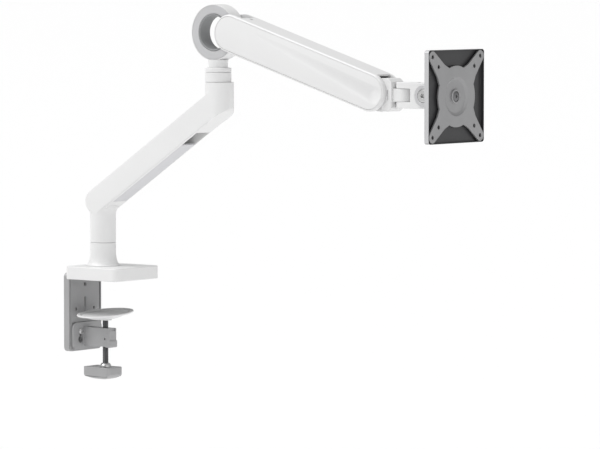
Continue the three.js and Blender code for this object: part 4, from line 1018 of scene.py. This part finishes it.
def make_spider():
    face = PLATE_AT
    cup_back = PLATE_AT - TRAY_DEPTH + TRAY_FLOOR + GAP
    plate = slab("spider", "x", spider_outline(), face - SPIDER_THICKNESS, face)
    cup = turned(
        "cup",
        [(DISH_RADIUS - 3.5, cup_back), (DISH_RADIUS, cup_back + 1.6), (DISH_RADIUS, face - 1)],
        axis="x",
    )
    dish = turned(
        "dish",
        [
            (DISH_RADIUS - 4.5, cup_back + 1.6),
            (DISH_RADIUS - 2.6, cup_back + 2),
            (DISH_RADIUS - 1.2, face - 1.2),
            (DISH_RADIUS + 0.6, face + 0.5),
        ],
        axis="x",
    )
    holes = [
        bar("hole", "x", HOLE_RADIUS, face - 10, face + 1, y * square / 2, z * square / 2)
        for square in HOLE_SQUARES
        for y in (-1, 1)
        for z in (-1, 1)
    ]
    boss = tube("boss", "x", 9.3, 6.6, cup_back + 1, face - 0.6, (0, 0, 0), 0.5)
    body = join(cut(join(plate, cup), dish, *holes), boss)
    body = cut(body, bar("bore", "x", ROTATION_BORE, cup_back - 1, face + 1))
    piece(moved(body, ON_HEAD), "vesa_spider", edge=0.3, segments=2)


def make_rotation_bolt():
    tray_back = PLATE_AT - TRAY_DEPTH
    seat = tray_back + TRAY_FLOOR + 2.2
    profile = [(3, tray_back - 18), (3, seat), (6, seat), (6, seat + 1), (5.2, seat + 1.7), (3.6, seat + 1.9)]
    bolt = turned("bolt", profile, axis="x", steps=48)
    socket = hexagon("socket", "x", 2.1, seat + 0.9, seat + 4)
    piece(moved(cut(bolt, socket), ON_HEAD), "rotation_bolt")


# ---- Surroundings ----


def make_floor():
    half = FLOOR_HALF
    shape = bmesh.new()
    shape.faces.new([shape.verts.new((x, y, FLOOR_Z)) for x, y in rectangle(-half, half, -half, half)])
    floor = new_object("floor", shape)
    finish = surface("floor_white", (0.95, 0.95, 0.95), 0.7, tint=0.005, grain=(300, 0.02))
    floor.data.materials.append(finish)


def soft_sun(name, towards, strength, spread_degrees):
    """A wide, soft light from far away. towards points from the object to the light."""
    data = bpy.data.lights.new(name, "SUN")
    data.energy = strength
    data.angle = math.radians(spread_degrees)
    lamp = bpy.data.objects.new(name, data)
    lamp.rotation_mode = "QUATERNION"
    lamp.rotation_quaternion = (-Vector(towards)).to_track_quat("-Z", "Y")
    bpy.context.scene.collection.objects.link(lamp)


def make_light():
    world = bpy.data.worlds.new("studio")
    world.use_nodes = True
    background = world.node_tree.nodes["Background"]
    background.inputs["Color"].default_value = (1, 1, 1, 1)
    background.inputs["Strength"].default_value = SKY_STRENGTH
    bpy.context.scene.world = world
    soft_sun("key", (-0.45, -0.45, 1.0), 2.1, 50)
    soft_sun("fill", (0.9, -0.2, 0.25), 0.5, 60)
    bpy.context.scene.view_settings.view_transform = "Standard"


def make_camera():
    data = bpy.data.cameras.new("camera")
    data.lens = CAMERA_LENS
    data.sensor_width = CAMERA_SENSOR
    data.clip_end = CAMERA_REACH
    camera = bpy.data.objects.new("camera", data)
    turn, pitch = math.radians(CAMERA_AZIMUTH), math.radians(CAMERA_PITCH)
    back = Vector((math.sin(turn) * math.cos(pitch), -math.cos(turn) * math.cos(pitch), math.sin(pitch)))
    camera.location = CAMERA_PLACE
    camera.rotation_mode = "QUATERNION"
    camera.rotation_quaternion = (-back).to_track_quat("-Z", "Y")
    bpy.context.scene.collection.objects.link(camera)
    bpy.context.scene.camera = camera


finish_cad_nodes()
make_base()
make_back_plate()
make_jaw()
make_jaw_bolt(1, -JAW_BOLT_Y)
make_jaw_bolt(2, JAW_BOLT_Y)
make_disc()
make_clamp_screw()
make_knob()
make_lower_arm()
make_elbow()
make_ring()
make_upper_arm()
make_tip_block()
make_fork()
make_tilt_joint()
make_tilt_block()
make_tray()
make_spider()
make_rotation_bolt()
make_floor()
make_light()
make_camera()
